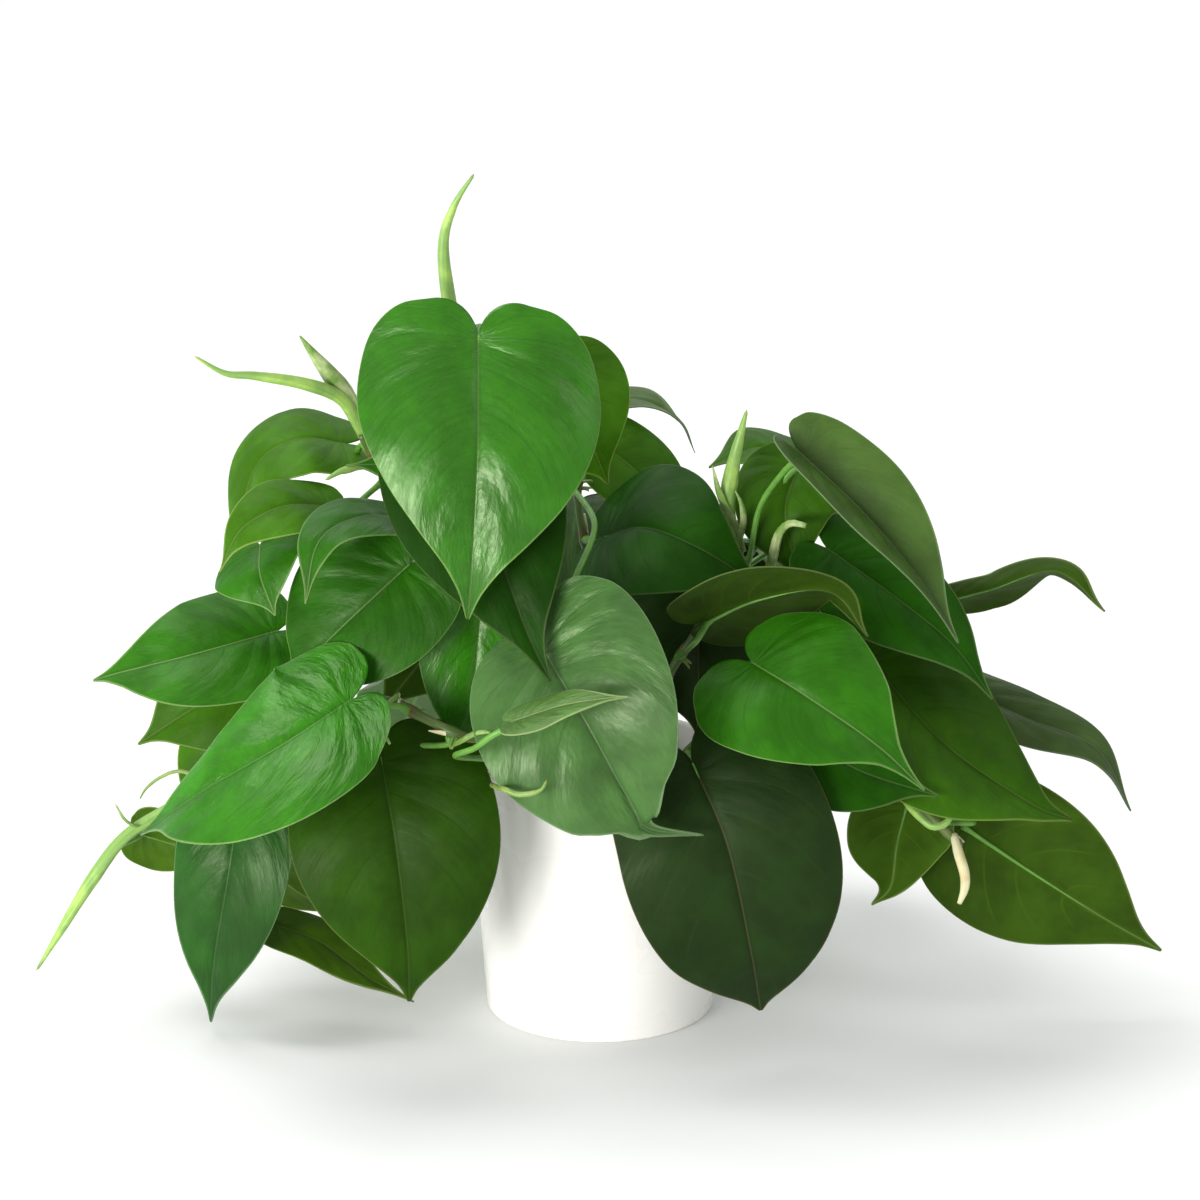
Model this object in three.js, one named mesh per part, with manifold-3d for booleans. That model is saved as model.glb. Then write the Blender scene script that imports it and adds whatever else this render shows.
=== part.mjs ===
// A potted heartleaf philodendron: a white pot, its soil, trailing vines, and heart-shaped leaves on stalks.
// Millimetres, +Z up. The origin is the middle of the pot's underside. The front of the plant faces -Y.
import * as THREE from "three";
import { mergeVertices } from "three/addons/utils/BufferGeometryUtils.js";
import Module from "manifold-3d";

// The pot and its soil.
const POT_HEIGHT = 104;
const RIM_RADIUS = 52;
const FOOT_RADIUS = 44.5;
const POT_WALL = 4;
const POT_FLOOR = 6;
const POT_SIDES = 36;
const EDGE_ROUNDING = 1.4;
const FLOOR_ROUNDING = 3;
const SOIL_HEIGHT = 93;
const SOIL_SIDES = 24;
const SOIL_SWELL = 2;

// Pieces that touch in the real plant stand this far apart.
const CLEARANCE = 0.4;

// The stems and the leaf stalks.
const STEM_SIDES = 6;
const STEM_STEP = 14;
const STEM_DEPTH = 24;
const STEM_HOLE_RADIUS = 3.1;
// A vine has gone this share of the way to its first point at this height over the soil.
const LEAN = 0.12;
const LEAN_HEIGHT = 11;
const STALK_RADIUS = 1.2;
const STALK_SIDES = 5;
const STALK_STEPS = 5;
// How far a stalk stands out from its vine before it turns, and runs into the blade past the notch.
const STALK_STANDING = 5;
const STALK_INTO_BLADE = 1.5;
// The stalk comes to the notch from behind the blade, by way of this point.
const STALK_BEHIND = 7;
const STALK_SHORT_OF = 4;

// The leaf blade.
const BLADE_THICKNESS = 0.8;
const BLADE_ROWS = 8;
const HALF_BLADE_COLUMNS = 2;

const UP = new THREE.Vector3(0, 0, 1);
const GREEN = "#3f7a2a";
const STEM_GREEN = "#8fb85a";

// Half of a blade's outline, from the lobe beside the notch to the tip: the half width, and the distance past
// the notch, as shares of the blade's length.
const OUTLINE = [
  [0.15, -0.105],
  [0.27, -0.075],
  [0.365, 0.02],
  [0.41, 0.15],
  [0.415, 0.29],
  [0.375, 0.43],
  [0.295, 0.57],
  [0.19, 0.7],
  [0.095, 0.81],
  [0.04, 0.9],
  [0.006, 1],
];
// Where on the midrib the row that ends at each outline point starts.
const MIDRIB_SHARES = [0, 0.008, 0.018, 0.03, 0.055, 0.12, 0.24, 0.42, 0.61, 0.79, 1];
const WIDEST_SHARE = 0.415;
// The lobes' inner margins bow towards the notch by this share, over the first rows.
const NOTCH_BULGE = 0.022;
const NOTCH_ROWS_SHARE = 0.2;
const BULGE_DROP = 0.35;
// Where a leaf with a drawn out tip starts to narrow, and how soon it has narrowed.
const TAIL_START = 0.65;
const TAIL_LENGTH = 0.15;

// Each vine: where it leaves the soil, the points it passes, its radius, and its side shoots.
const VINES = {
  top_vine: {
    root: [-14, -6],
    points: [[-20, 2, 140], [-33, 6, 175], [-46, 0, 217], [-53, -14, 251], [-55, -20, 280]],
    shoots: [
      {
        points: [[-55, -19, 276], [-58, -22, 306], [-54, -24, 322], [-46, -26, 335]],
        radii: [2.6, 2.2, 1.5, 0.4],
      },
    ],
  },
  upper_left_vine: {
    root: [-26, 8],
    points: [[-31, 10, 126], [-51, 10, 158], [-69, 8, 191], [-82, 2, 214], [-90, -6, 231]],
    shoots: [
      {
        points: [[-89, -5, 229], [-96, -9, 243], [-103, -12, 254], [-112, -16, 272]],
        radii: [2, 2.4, 2, 0.4],
      },
      {
        points: [[-94, -8, 238], [-108, -18, 254], [-130, -26, 260], [-150, -32, 268]],
        radii: [1.8, 1.8, 1.3, 0.4],
      },
    ],
  },
  lower_left_vine: {
    root: [-26, -18],
    points: [
      [-35, -50, 125], [-50, -66, 131], [-65, -62, 137], [-83, -45, 139],
      [-110, -30, 125], [-140, -22, 105], [-165, -14, 87],
    ],
    shoots: [
      {
        points: [[-163, -14, 88], [-183, -20, 76], [-196, -26, 60], [-208, -30, 41], [-218, -32, 25]],
        radii: [1.6, 2, 2.2, 1.6, 0.4],
      },
      {
        points: [[-172, -15, 84], [-181, -19, 84], [-185, -24, 90]],
        radii: [1.5, 1.2, 0.5],
      },
      {
        points: [[-78, -49, 139], [-74, -64, 147], [-79, -81, 143], [-77, -85, 134]],
        radii: [1.2, 1.4, 1, 0.4],
      },
    ],
  },
  middle_vine: {
    root: [2, -10],
    points: [[2, 0, 135], [-2, 8, 166], [-8, 8, 198], [-9, 2, 216]],
    shoots: [],
  },
  upper_right_vine: {
    root: [22, 2],
    points: [[26, 0, 133], [43, -6, 163], [53, -14, 189]],
    shoots: [
      {
        points: [[52, -13, 187], [48, -18, 213], [52, -20, 233], [55, -20, 245]],
        radii: [2.2, 3, 2, 0.4],
      },
      {
        points: [[50, -16, 205], [45, -22, 215], [42, -25, 225]],
        radii: [1.6, 1.6, 0.4],
      },
    ],
  },
  lower_right_vine: {
    root: [30, -14],
    points: [
      [42, -34, 123], [62, -44, 127], [87, -38, 122],
      [111, -36, 105], [126, -37, 90], [137, -38, 79],
    ],
    shoots: [
      {
        points: [[136, -38, 80], [141, -44, 68], [139, -46, 57]],
        radii: [1.5, 1.5, 0.8],
      },
    ],
  },
  back_left_vine: {
    root: [-12, 24],
    points: [[-16, 34, 124], [-28, 50, 150], [-46, 62, 158], [-62, 74, 144], [-68, 80, 128]],
    shoots: [],
  },
  back_right_vine: {
    root: [16, 22],
    points: [[20, 32, 124], [30, 48, 152], [46, 62, 160], [60, 74, 144], [66, 80, 128]],
    shoots: [],
  },
};
const VINE_BASE_RADIUS = 2.3;
const VINE_END_RADIUS = 1.8;

// Each leaf: its midrib from the notch to the tip, its full width, and the way its upper face looks (azimuth
// from the front, turning to the right, and elevation). fold and bend are the angles of its two halves at the
// midrib and from there to the margin, in degrees; skew slants its lobes, belly moves its widest place towards
// the tip, and tail draws the tip out. vine and at say which vine carries it and how far along; via says where
// its stalk passes.
const LEAVES = {
  leaf_crown: {
    midrib: [[-44, -60, 283], [-44, -80, 244], [-46, -86, 205], [-48, -84, 182]],
    width: 91, facing: [-2, 18], fold: [12, 16], bend: [-45, -45], skew: 4,
    vine: "top_vine", at: 0.97,
  },
  leaf_crown_right: {
    midrib: [[-20, -20, 260], [-6, -22, 238], [3, -12, 214]],
    width: 54, facing: [20, 20],
    vine: "top_vine", at: 0.8,
  },
  leaf_crown_low: {
    midrib: [[0, 27, 221], [19, 24, 205], [40, 21, 174]],
    width: 40, facing: [30, 40],
    vine: "middle_vine", at: 0.95,
  },
  leaf_crown_far: {
    midrib: [[-39, 42, 219], [-12, 50, 230], [14, 48, 233], [31, 41, 226], [37, 33, 215]],
    width: 40, facing: [10, 85], tail: 0.8,
    vine: "top_vine", at: 0.6,
  },
  leaf_under_crown: {
    midrib: [[-56, -46, 245], [-39, -66, 207], [-27, -78, 176], [-18, -86, 159]],
    width: 66, facing: [-5, 25],
    vine: "top_vine", at: 0.86,
  },
  leaf_dark_middle: {
    midrib: [[1, -10, 193], [17, -26, 201], [39, -38, 195], [62, -36, 179]],
    width: 68, facing: [0, 50], skew: -8,
    vine: "middle_vine", at: 0.8,
  },
  leaf_left_middle: {
    midrib: [[-71, -42, 191], [-92, -46, 172], [-109, -41, 154], [-117, -36, 145]],
    width: 61, facing: [-8, 35],
    vine: "upper_left_vine", at: 0.69, skew: -10, belly: 0.5,
  },
  leaf_left_curled: {
    midrib: [[-69, -33, 206], [-88, -48, 211], [-103, -61, 205], [-108, -68, 183]],
    width: 37, facing: [-30, 65],
    vine: "upper_left_vine", at: 0.62, via: [[-64, -10, 192], [-62, -24, 199]],
  },
  leaf_shiny: {
    midrib: [[-91, -75, 149], [-115, -91, 137], [-145, -89, 118], [-171, -69, 94]],
    width: 70, facing: [-20, 55],
    vine: "lower_left_vine", at: 0.5, skew: 18,
  },
  leaf_front_heart: {
    midrib: [[-82, -58, 122], [-76, -74, 92], [-72, -76, 53], [-72, -68, 27]],
    width: 80, facing: [-2, 10], belly: 0.25,
    vine: "lower_left_vine", at: 0.42,
  },
  leaf_hanging_left: {
    midrib: [[-136, -34, 103], [-141, -46, 71], [-148, -42, 33], [-151, -32, 4]],
    width: 49, facing: [-20, 15], belly: 0.2,
    vine: "lower_left_vine", at: 0.78,
  },
  leaf_far_left_low: {
    midrib: [[-181, 0, 71], [-162, 2, 63], [-144, 4, 52]],
    width: 40, facing: [-150, 40],
    vine: "lower_left_vine", at: 0.98,
  },
  leaf_left_back: {
    midrib: [[-127, 10, 113], [-150, 14, 93], [-162, 16, 63]],
    width: 50, facing: [-20, 20],
    vine: "lower_left_vine", at: 0.62, via: [[-112, -10, 116], [-116, 6, 113]],
  },
  leaf_left_point: {
    midrib: [[-128, -4, 135], [-153, -8, 126], [-179, -4, 108]],
    width: 50, facing: [-30, 15],
    vine: "lower_left_vine", at: 0.68,
  },
  leaf_left_wing: {
    midrib: [[-123, -14, 157], [-155, -26, 151], [-181, -22, 143], [-194, -14, 137]],
    width: 56, facing: [-25, 45],
    vine: "upper_left_vine", at: 0.4,
  },
  leaf_arch_high: {
    midrib: [[-98, 17, 223], [-116, 11, 226], [-133, 9, 214], [-142, 11, 174]],
    width: 46, facing: [-50, 50],
    vine: "upper_left_vine", at: 0.95,
  },
  leaf_arch_middle: {
    midrib: [[-101, -18, 207], [-118, -29, 210], [-134, -33, 202], [-143, -28, 184]],
    width: 33, facing: [-30, 45],
    vine: "upper_left_vine", at: 0.88,
  },
  leaf_arch_low: {
    midrib: [[-129, -14, 191], [-128, -28, 183], [-122, -35, 169]],
    width: 44, facing: [-35, 30],
    vine: "upper_left_vine", at: 0.76, via: [[-98, -2, 188], [-116, -10, 190]],
  },
  leaf_dark_left: {
    midrib: [[-57, -12, 214], [-76, -12, 221], [-96, -10, 221]],
    width: 20, facing: [-10, 35],
    vine: "top_vine", at: 0.68,
  },
  leaf_bright: {
    midrib: [[56, -62, 159], [73, -76, 152], [101, -80, 133], [120, -74, 113]],
    width: 66, facing: [5, 30], skew: 10,
    vine: "lower_right_vine", at: 0.38, belly: -0.35, tail: 0.3,
  },
  leaf_turned_over: {
    midrib: [[38, -44, 169], [59, -50, 180], [85, -58, 185], [99, -60, 168]],
    width: 52, facing: [170, 50],
    vine: "upper_right_vine", at: 0.6,
  },
  leaf_front_dark: {
    midrib: [[34, -66, 122], [47, -80, 94], [56, -78, 53], [61, -62, 21]],
    width: 82, facing: [4, 5], belly: 0.6,
    vine: "lower_right_vine", at: 0.25,
  },
  leaf_under_bright: {
    midrib: [[69, -52, 136], [93, -60, 118], [127, -58, 105]],
    width: 44, facing: [0, 30],
    vine: "lower_right_vine", at: 0.53,
  },
  leaf_big_right: {
    midrib: [[101, -22, 150], [130, -38, 120], [163, -42, 97], [180, -36, 88]],
    width: 72, facing: [25, 35],
    vine: "lower_right_vine", at: 0.62,
  },
  leaf_tall_right: {
    midrib: [[74, -34, 232], [96, -44, 213], [117, -48, 189], [134, -44, 161]],
    width: 42, facing: [35, 30], fold: [40, 40], bend: [-10, -10],
    vine: "upper_right_vine", at: 0.98, via: [[60, -22, 207], [68, -28, 222]],
  },
  leaf_tall_right_back: {
    midrib: [[88, 10, 214], [104, 8, 194], [122, 8, 168]],
    width: 46, facing: [35, 35],
    vine: "upper_right_vine", at: 0.7, via: [[54, 0, 176], [74, 10, 188], [88, 14, 204]],
  },
  leaf_shelf_right: {
    midrib: [[86, -20, 191], [109, -32, 177], [132, -38, 159], [148, -38, 137]],
    width: 50, facing: [20, 45],
    vine: "upper_right_vine", at: 0.85,
  },
  leaf_dark_right: {
    midrib: [[76, -4, 221], [70, -14, 203], [76, -18, 176]],
    width: 42, facing: [-10, 30],
    vine: "upper_right_vine", at: 0.8, via: [[66, -10, 200], [70, -8, 214]],
  },
  leaf_top_right_back: {
    midrib: [[76, 26, 217], [60, 22, 220], [42, 18, 213]],
    width: 44, facing: [0, 80],
    vine: "back_right_vine", at: 0.3, via: [[44, 34, 172], [72, 34, 206]],
  },
  leaf_reach_high: {
    midrib: [[130, -4, 166], [150, -4, 171], [175, -4, 178], [194, -2, 161]],
    width: 42, facing: [150, 55],
    vine: "lower_right_vine", at: 0.6, via: [[100, -4, 128], [120, 4, 150]],
  },
  leaf_reach_middle: {
    midrib: [[138, 8, 128], [165, -2, 118], [192, -6, 107], [207, -2, 80]],
    width: 29, facing: [30, 50],
    vine: "lower_right_vine", at: 0.8,
  },
  leaf_reach_low: {
    midrib: [[140, -11, 78], [168, -17, 60], [195, -17, 42], [220, -10, 25]],
    width: 66, facing: [175, 5],
    vine: "lower_right_vine", at: 0.96, via: [[143, -28, 84], [141, -17, 82]],
  },
  leaf_hooked: {
    midrib: [[118, -26, 93], [114, -28, 76], [112, -27, 58], [105, -26, 50]],
    width: 42, facing: [180, 20],
    vine: "lower_right_vine", at: 0.8,
  },
  leaf_dark_low_left: {
    midrib: [[-138, 12, 59], [-120, 12, 42], [-99, 8, 32]],
    width: 40, facing: [150, 30],
    vine: "lower_left_vine", at: 0.9,
  },
  leaf_sliver: {
    midrib: [[-128, -20, 40], [-109, -26, 35], [-89, -30, 21], [-72, -34, 13]],
    width: 24, facing: [20, 60],
    vine: "lower_left_vine", at: 0.92, via: [[-132, -14, 64], [-130, -17, 48]],
  },
  leaf_inner_bright: {
    midrib: [[-43, -32, 188], [-46, -38, 158], [-50, -43, 113]],
    width: 46, facing: [10, 20],
    vine: "top_vine", at: 0.5, belly: 0.5,
  },
  leaf_inner_olive: {
    midrib: [[-52, -12, 171], [-65, -14, 150], [-85, -16, 124]],
    width: 50, facing: [160, 40],
    vine: "upper_left_vine", at: 0.5,
  },
  leaf_grey: {
    midrib: [[-22, -72, 169], [-5, -92, 145], [12, -96, 114], [18, -94, 105], [38, -90, 101]],
    width: 80, facing: [-4, 25], tail: 0.72,
    vine: "middle_vine", at: 0.97, via: [[-2, -34, 204], [-9, -56, 190], [-15, -68, 178]], skew: -10, fold: [32, 8],
  },
  leaf_young: {
    midrib: [[-31, -112, 152], [-14, -116, 159], [0, -118, 162], [10, -118, 163]],
    width: 22, facing: [0, 74],
    vine: "lower_left_vine", at: 0.24, via: [[-52, -86, 130], [-45, -106, 140], [-38, -112, 147]],
  },
  leaf_back_top: {
    midrib: [[-8, 58, 190], [-10, 84, 178], [-12, 102, 150], [-12, 108, 118]],
    width: 70, facing: [180, 30],
    vine: "middle_vine", at: 0.7,
  },
  leaf_back_left_high: {
    midrib: [[-60, 62, 176], [-84, 80, 166], [-104, 92, 138], [-112, 96, 110]],
    width: 66, facing: [-135, 35],
    vine: "back_left_vine", at: 0.6,
  },
  leaf_back_left_low: {
    midrib: [[-62, 92, 112], [-74, 114, 98], [-84, 126, 70], [-88, 128, 42]],
    width: 64, facing: [-150, 25],
    vine: "back_left_vine", at: 0.98,
  },
  leaf_back_middle_low: {
    midrib: [[-12, 84, 118], [-8, 108, 104], [-4, 120, 76], [-2, 122, 46]],
    width: 66, facing: [175, 20],
    vine: "back_left_vine", at: 0.35,
  },
  leaf_back_right_high: {
    midrib: [[48, 60, 172], [72, 80, 164], [92, 94, 138], [100, 100, 108]],
    width: 68, facing: [140, 35],
    vine: "back_right_vine", at: 0.5,
  },
  leaf_back_right_low: {
    midrib: [[60, 96, 110], [76, 116, 96], [88, 128, 70], [92, 130, 40]],
    width: 62, facing: [150, 25],
    vine: "back_right_vine", at: 0.98,
  },
  leaf_back_right_side: {
    midrib: [[86, 42, 152], [113, 50, 142], [134, 55, 116], [142, 57, 88]],
    width: 66, facing: [115, 35],
    vine: "back_right_vine", at: 0.7,
  },
  leaf_back_left_side: {
    midrib: [[-98, 40, 142], [-124, 48, 132], [-144, 52, 106], [-152, 54, 78]],
    width: 66, facing: [-115, 35],
    vine: "back_left_vine", at: 0.7,
  },
  leaf_inner_right: {
    midrib: [[34, 9, 177], [38, 5, 148], [38, 12, 107]],
    width: 66, facing: [5, 20],
    vine: "upper_right_vine", at: 0.45, belly: 0.3,
  },
};
const PLAIN_LEAF = { fold: [12, 12], bend: [-30, -30], skew: 0, belly: 0, tail: 0 };

const wasm = await Module();
wasm.setup();

const vector = ([x, y, z]) => new THREE.Vector3(x, y, z);

// A smooth curve through points given as [x, y, z].
function smoothCurve(points) {
  const curve = new THREE.CatmullRomCurve3(points.map(vector), false, "catmullrom", 0.5);
  curve.arcLengthDivisions = 60;
  return curve;
}

// A closed geometry from its vertices, three numbers each, and its triangles, three indices each.
function geometryOf(positions, triangles) {
  const geometry = new THREE.BufferGeometry();
  geometry.setAttribute("position", new THREE.Float32BufferAttribute(positions, 3));
  geometry.setIndex(triangles);
  return geometry;
}

function solidOf(geometry) {
  const bare = geometry.clone();
  bare.deleteAttribute("normal");
  bare.deleteAttribute("uv");
  const merged = mergeVertices(bare, 1e-4);
  const vertProperties = merged.attributes.position.array;
  const triVerts = new Uint32Array(merged.index.array);
  return new wasm.Manifold(new wasm.Mesh({ numProp: 3, vertProperties, triVerts }));
}

function geometryFrom(solid) {
  const mesh = solid.getMesh();
  return geometryOf(Array.from(mesh.vertProperties), Array.from(mesh.triVerts));
}

// One geometry from several that run into each other.
function fused(geometries) {
  return geometryFrom(geometries.map(solidOf).reduce((whole, piece) => whole.add(piece)));
}

// A round stem along a curve, capped at both ends. radiusAt gives its radius from 0 to 1 along the curve.
function stem(curve, steps, sides, radiusAt) {
  const frames = curve.computeFrenetFrames(steps, false);
  const positions = [];
  const triangles = [];
  for (let step = 0; step <= steps; step++) {
    const centre = curve.getPointAt(step / steps);
    const radius = radiusAt(step / steps);
    for (let side = 0; side < sides; side++) {
      const angle = (side / sides) * 2 * Math.PI;
      const point = centre.clone();
      point.addScaledVector(frames.normals[step], radius * Math.cos(angle));
      point.addScaledVector(frames.binormals[step], radius * Math.sin(angle));
      positions.push(point.x, point.y, point.z);
    }
  }
  for (let step = 0; step < steps; step++) {
    for (let side = 0; side < sides; side++) {
      const next = (side + 1) % sides;
      const a = step * sides + side;
      const b = step * sides + next;
      triangles.push(a, b, b + sides, a, b + sides, a + sides);
    }
  }
  for (let side = 1; side < sides - 1; side++) {
    const last = steps * sides;
    triangles.push(0, side + 1, side, last, last + side, last + side + 1);
  }
  return geometryOf(positions, triangles);
}

// A value read from evenly spaced ones, from 0 to 1 along them.
function along(values, share) {
  const place = Math.min(share, 0.9999) * (values.length - 1);
  const low = Math.floor(place);
  return THREE.MathUtils.lerp(values[low], values[low + 1], place - low);
}

// The radius of the pot's inner face at a height.
const wallAt = (height) => THREE.MathUtils.lerp(FOOT_RADIUS, RIM_RADIUS, height / POT_HEIGHT) - POT_WALL;

// The pot: a slightly tapered cup with a rounded rim and a flat underside.
function potGeometry() {
  const profile = [
    [0, 0],
    [FOOT_RADIUS - EDGE_ROUNDING, 0],
    [FOOT_RADIUS, EDGE_ROUNDING],
    [RIM_RADIUS, POT_HEIGHT - EDGE_ROUNDING],
    [RIM_RADIUS - EDGE_ROUNDING, POT_HEIGHT],
    [RIM_RADIUS - POT_WALL + EDGE_ROUNDING, POT_HEIGHT],
    [RIM_RADIUS - POT_WALL, POT_HEIGHT - EDGE_ROUNDING],
    [wallAt(POT_FLOOR + FLOOR_ROUNDING), POT_FLOOR + FLOOR_ROUNDING],
    [wallAt(POT_FLOOR) - FLOOR_ROUNDING, POT_FLOOR],
    [0, POT_FLOOR],
  ];
  const lathe = new THREE.LatheGeometry(profile.map(([r, z]) => new THREE.Vector2(r, z)), POT_SIDES);
  return lathe.rotateX(Math.PI / 2);
}

// The soil: it fills the pot to just under the rim, with a plain hole for each vine.
function soilGeometry() {
  const low = POT_FLOOR + CLEARANCE;
  // The pot's faceted wall comes nearer to its axis than its corners do.
  const reach = (height) => wallAt(height) * Math.cos(Math.PI / POT_SIDES) - 2 * CLEARANCE;
  const profile = [
    [0, low],
    [reach(low) - FLOOR_ROUNDING, low],
    [reach(low + FLOOR_ROUNDING), low + FLOOR_ROUNDING],
    [reach(SOIL_HEIGHT), SOIL_HEIGHT - SOIL_SWELL],
    [RIM_RADIUS * 0.7, SOIL_HEIGHT],
    [0, SOIL_HEIGHT + SOIL_SWELL],
  ];
  const lathe = new THREE.LatheGeometry(profile.map(([r, z]) => new THREE.Vector2(r, z)), SOIL_SIDES);
  let soil = solidOf(lathe.rotateX(Math.PI / 2));
  const depth = STEM_DEPTH + CLEARANCE;
  for (const { root } of Object.values(VINES)) {
    const hole = new THREE.CylinderGeometry(STEM_HOLE_RADIUS, STEM_HOLE_RADIUS, 2 * depth, STEM_SIDES * 2);
    hole.rotateX(Math.PI / 2).translate(root[0], root[1], SOIL_HEIGHT);
    soil = soil.subtract(solidOf(hole));
  }
  return geometryFrom(soil);
}

// A vine's own curve: straight up out of the soil, then leaning towards its first point and through them all.
function vineCurve({ root, points }) {
  const [x, y] = root;
  const upright = [-STEM_DEPTH, -STEM_DEPTH / 2, 2].map((height) => [x, y, SOIL_HEIGHT + height]);
  const [nextX, nextY] = points[0];
  const leaning = [x + LEAN * (nextX - x), y + LEAN * (nextY - y), SOIL_HEIGHT + LEAN_HEIGHT];
  return smoothCurve([...upright, leaning, ...points]);
}

const vineRadius = (share) => THREE.MathUtils.lerp(VINE_BASE_RADIUS, VINE_END_RADIUS, share);

function vineGeometry(vine) {
  const curve = vineCurve(vine);
  const steps = Math.ceil(curve.getLength() / STEM_STEP);
  const main = stem(curve, steps, STEM_SIDES, vineRadius);
  const shoots = vine.shoots.map(({ points, radii }) => {
    const shoot = smoothCurve(points);
    return stem(shoot, 2 * points.length - 2, STALK_SIDES, (share) => along(radii, share));
  });
  return fused([main, ...shoots]);
}

// The place, the way along, the way across and the way out of the upper face, at a share of a leaf's midrib.
function midribFrame(curve, facing, share) {
  const tangent = curve.getTangentAt(share);
  const outward = facing.clone().addScaledVector(tangent, -facing.dot(tangent)).normalize();
  const across = new THREE.Vector3().crossVectors(outward, tangent);
  return { place: curve.getPointAt(share), tangent, across, outward };
}

function facingOf([azimuth, elevation]) {
  const turn = THREE.MathUtils.degToRad(azimuth);
  const rise = THREE.MathUtils.degToRad(elevation);
  return new THREE.Vector3(Math.sin(turn) * Math.cos(rise), -Math.cos(turn) * Math.cos(rise), Math.sin(rise));
}

const outlineCurve = new THREE.CatmullRomCurve3(
  OUTLINE.map(([x, y], row) => new THREE.Vector3(x, y, MIDRIB_SHARES[row])), false, "catmullrom", 0.5,
);

// The middle sheet of a blade, as rows of points from the left margin to the right one.
function bladeSheet(leaf, curve) {
  const facing = facingOf(leaf.facing);
  const length = curve.getLength();
  const rows = [];
  for (let row = 0; row <= BLADE_ROWS; row++) {
    const rowShare = row / BLADE_ROWS;
    const edge = outlineCurve.getPoint(rowShare);
    const narrowing = 1 - leaf.tail * THREE.MathUtils.clamp((rowShare - TAIL_START) / TAIL_LENGTH, 0, 1);
    const bulge = NOTCH_BULGE * Math.max(0, 1 - rowShare / NOTCH_ROWS_SHARE);
    const points = [];
    for (let column = -HALF_BLADE_COLUMNS; column <= HALF_BLADE_COLUMNS; column++) {
      const side = column < 0 ? -1 : 1;
      const out = Math.abs(column) / HALF_BLADE_COLUMNS;
      const hump = bulge * 4 * out * (1 - out);
      const half = (Math.max(edge.x * out - hump, 0) / WIDEST_SHARE) * narrowing * (leaf.width / 2);
      const down = edge.z + (edge.y - edge.z) * out - hump * BULGE_DROP;
      const onMidrib = THREE.MathUtils.clamp(down, 0, 1);
      const share = onMidrib + leaf.belly * onMidrib * (1 - onMidrib);
      const { place, tangent, across, outward } = midribFrame(curve, facing, share);
      const fold = THREE.MathUtils.degToRad(leaf.fold[side > 0 ? 0 : 1]);
      const turn = THREE.MathUtils.degToRad(leaf.bend[side > 0 ? 0 : 1]) / (leaf.width / 2);
      const reach = (Math.sin(fold + turn * half) - Math.sin(fold)) / turn;
      const rise = (Math.cos(fold) - Math.cos(fold + turn * half)) / turn;
      const slant = Math.tan(THREE.MathUtils.degToRad(leaf.skew)) * side * reach;
      const point = place.clone();
      point.addScaledVector(across, side * reach);
      point.addScaledVector(tangent, slant + Math.min(down, 0) * length);
      point.addScaledVector(outward, rise);
      points.push(point);
    }
    rows.push(points);
  }
  return rows;
}

// A blade of even thickness on a middle sheet, split into triangles alike on both faces.
function bladeGeometry(sheet) {
  const rows = sheet.length;
  const columns = sheet[0].length;
  const within = (value, count) => THREE.MathUtils.clamp(value, 0, count - 1);
  const at = (row, column) => sheet[within(row, rows)][within(column, columns)];
  const faces = { upper: [], lower: [] };
  for (let row = 0; row < rows; row++) {
    for (let column = 0; column < columns; column++) {
      const downwards = at(row + 1, column).clone().sub(at(row - 1, column));
      const sideways = at(row, column + 1).clone().sub(at(row, column - 1));
      const normal = new THREE.Vector3().crossVectors(downwards, sideways);
      normal.setLength(BLADE_THICKNESS / 2);
      const middle = at(row, column);
      faces.upper.push(...middle.clone().add(normal).toArray());
      faces.lower.push(...middle.clone().sub(normal).toArray());
    }
  }
  const triangles = [];
  const lower = rows * columns;
  const index = (row, column) => row * columns + column;
  for (let row = 0; row < rows - 1; row++) {
    for (let column = 0; column < columns - 1; column++) {
      const a = index(row, column);
      const b = index(row, column + 1);
      const c = index(row + 1, column + 1);
      const d = index(row + 1, column);
      const corners = column < HALF_BLADE_COLUMNS ? [a, c, b, a, d, c] : [a, d, b, b, d, c];
      triangles.push(...corners);
      triangles.push(...corners.toReversed().map((corner) => lower + corner));
    }
  }
  const count = (length, placeOf) => Array.from({ length }, (_, step) => placeOf(step));
  const rim = [
    ...count(columns - 1, (step) => index(0, step)),
    ...count(rows - 1, (step) => index(step, columns - 1)),
    ...count(columns - 1, (step) => index(rows - 1, columns - 1 - step)),
    ...count(rows - 1, (step) => index(rows - 1 - step, 0)),
  ];
  rim.forEach((a, i) => {
    const b = rim[(i + 1) % rim.length];
    triangles.push(a, b, lower + b, a, lower + b, lower + a);
  });
  return geometryOf([...faces.upper, ...faces.lower], triangles);
}

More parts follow.
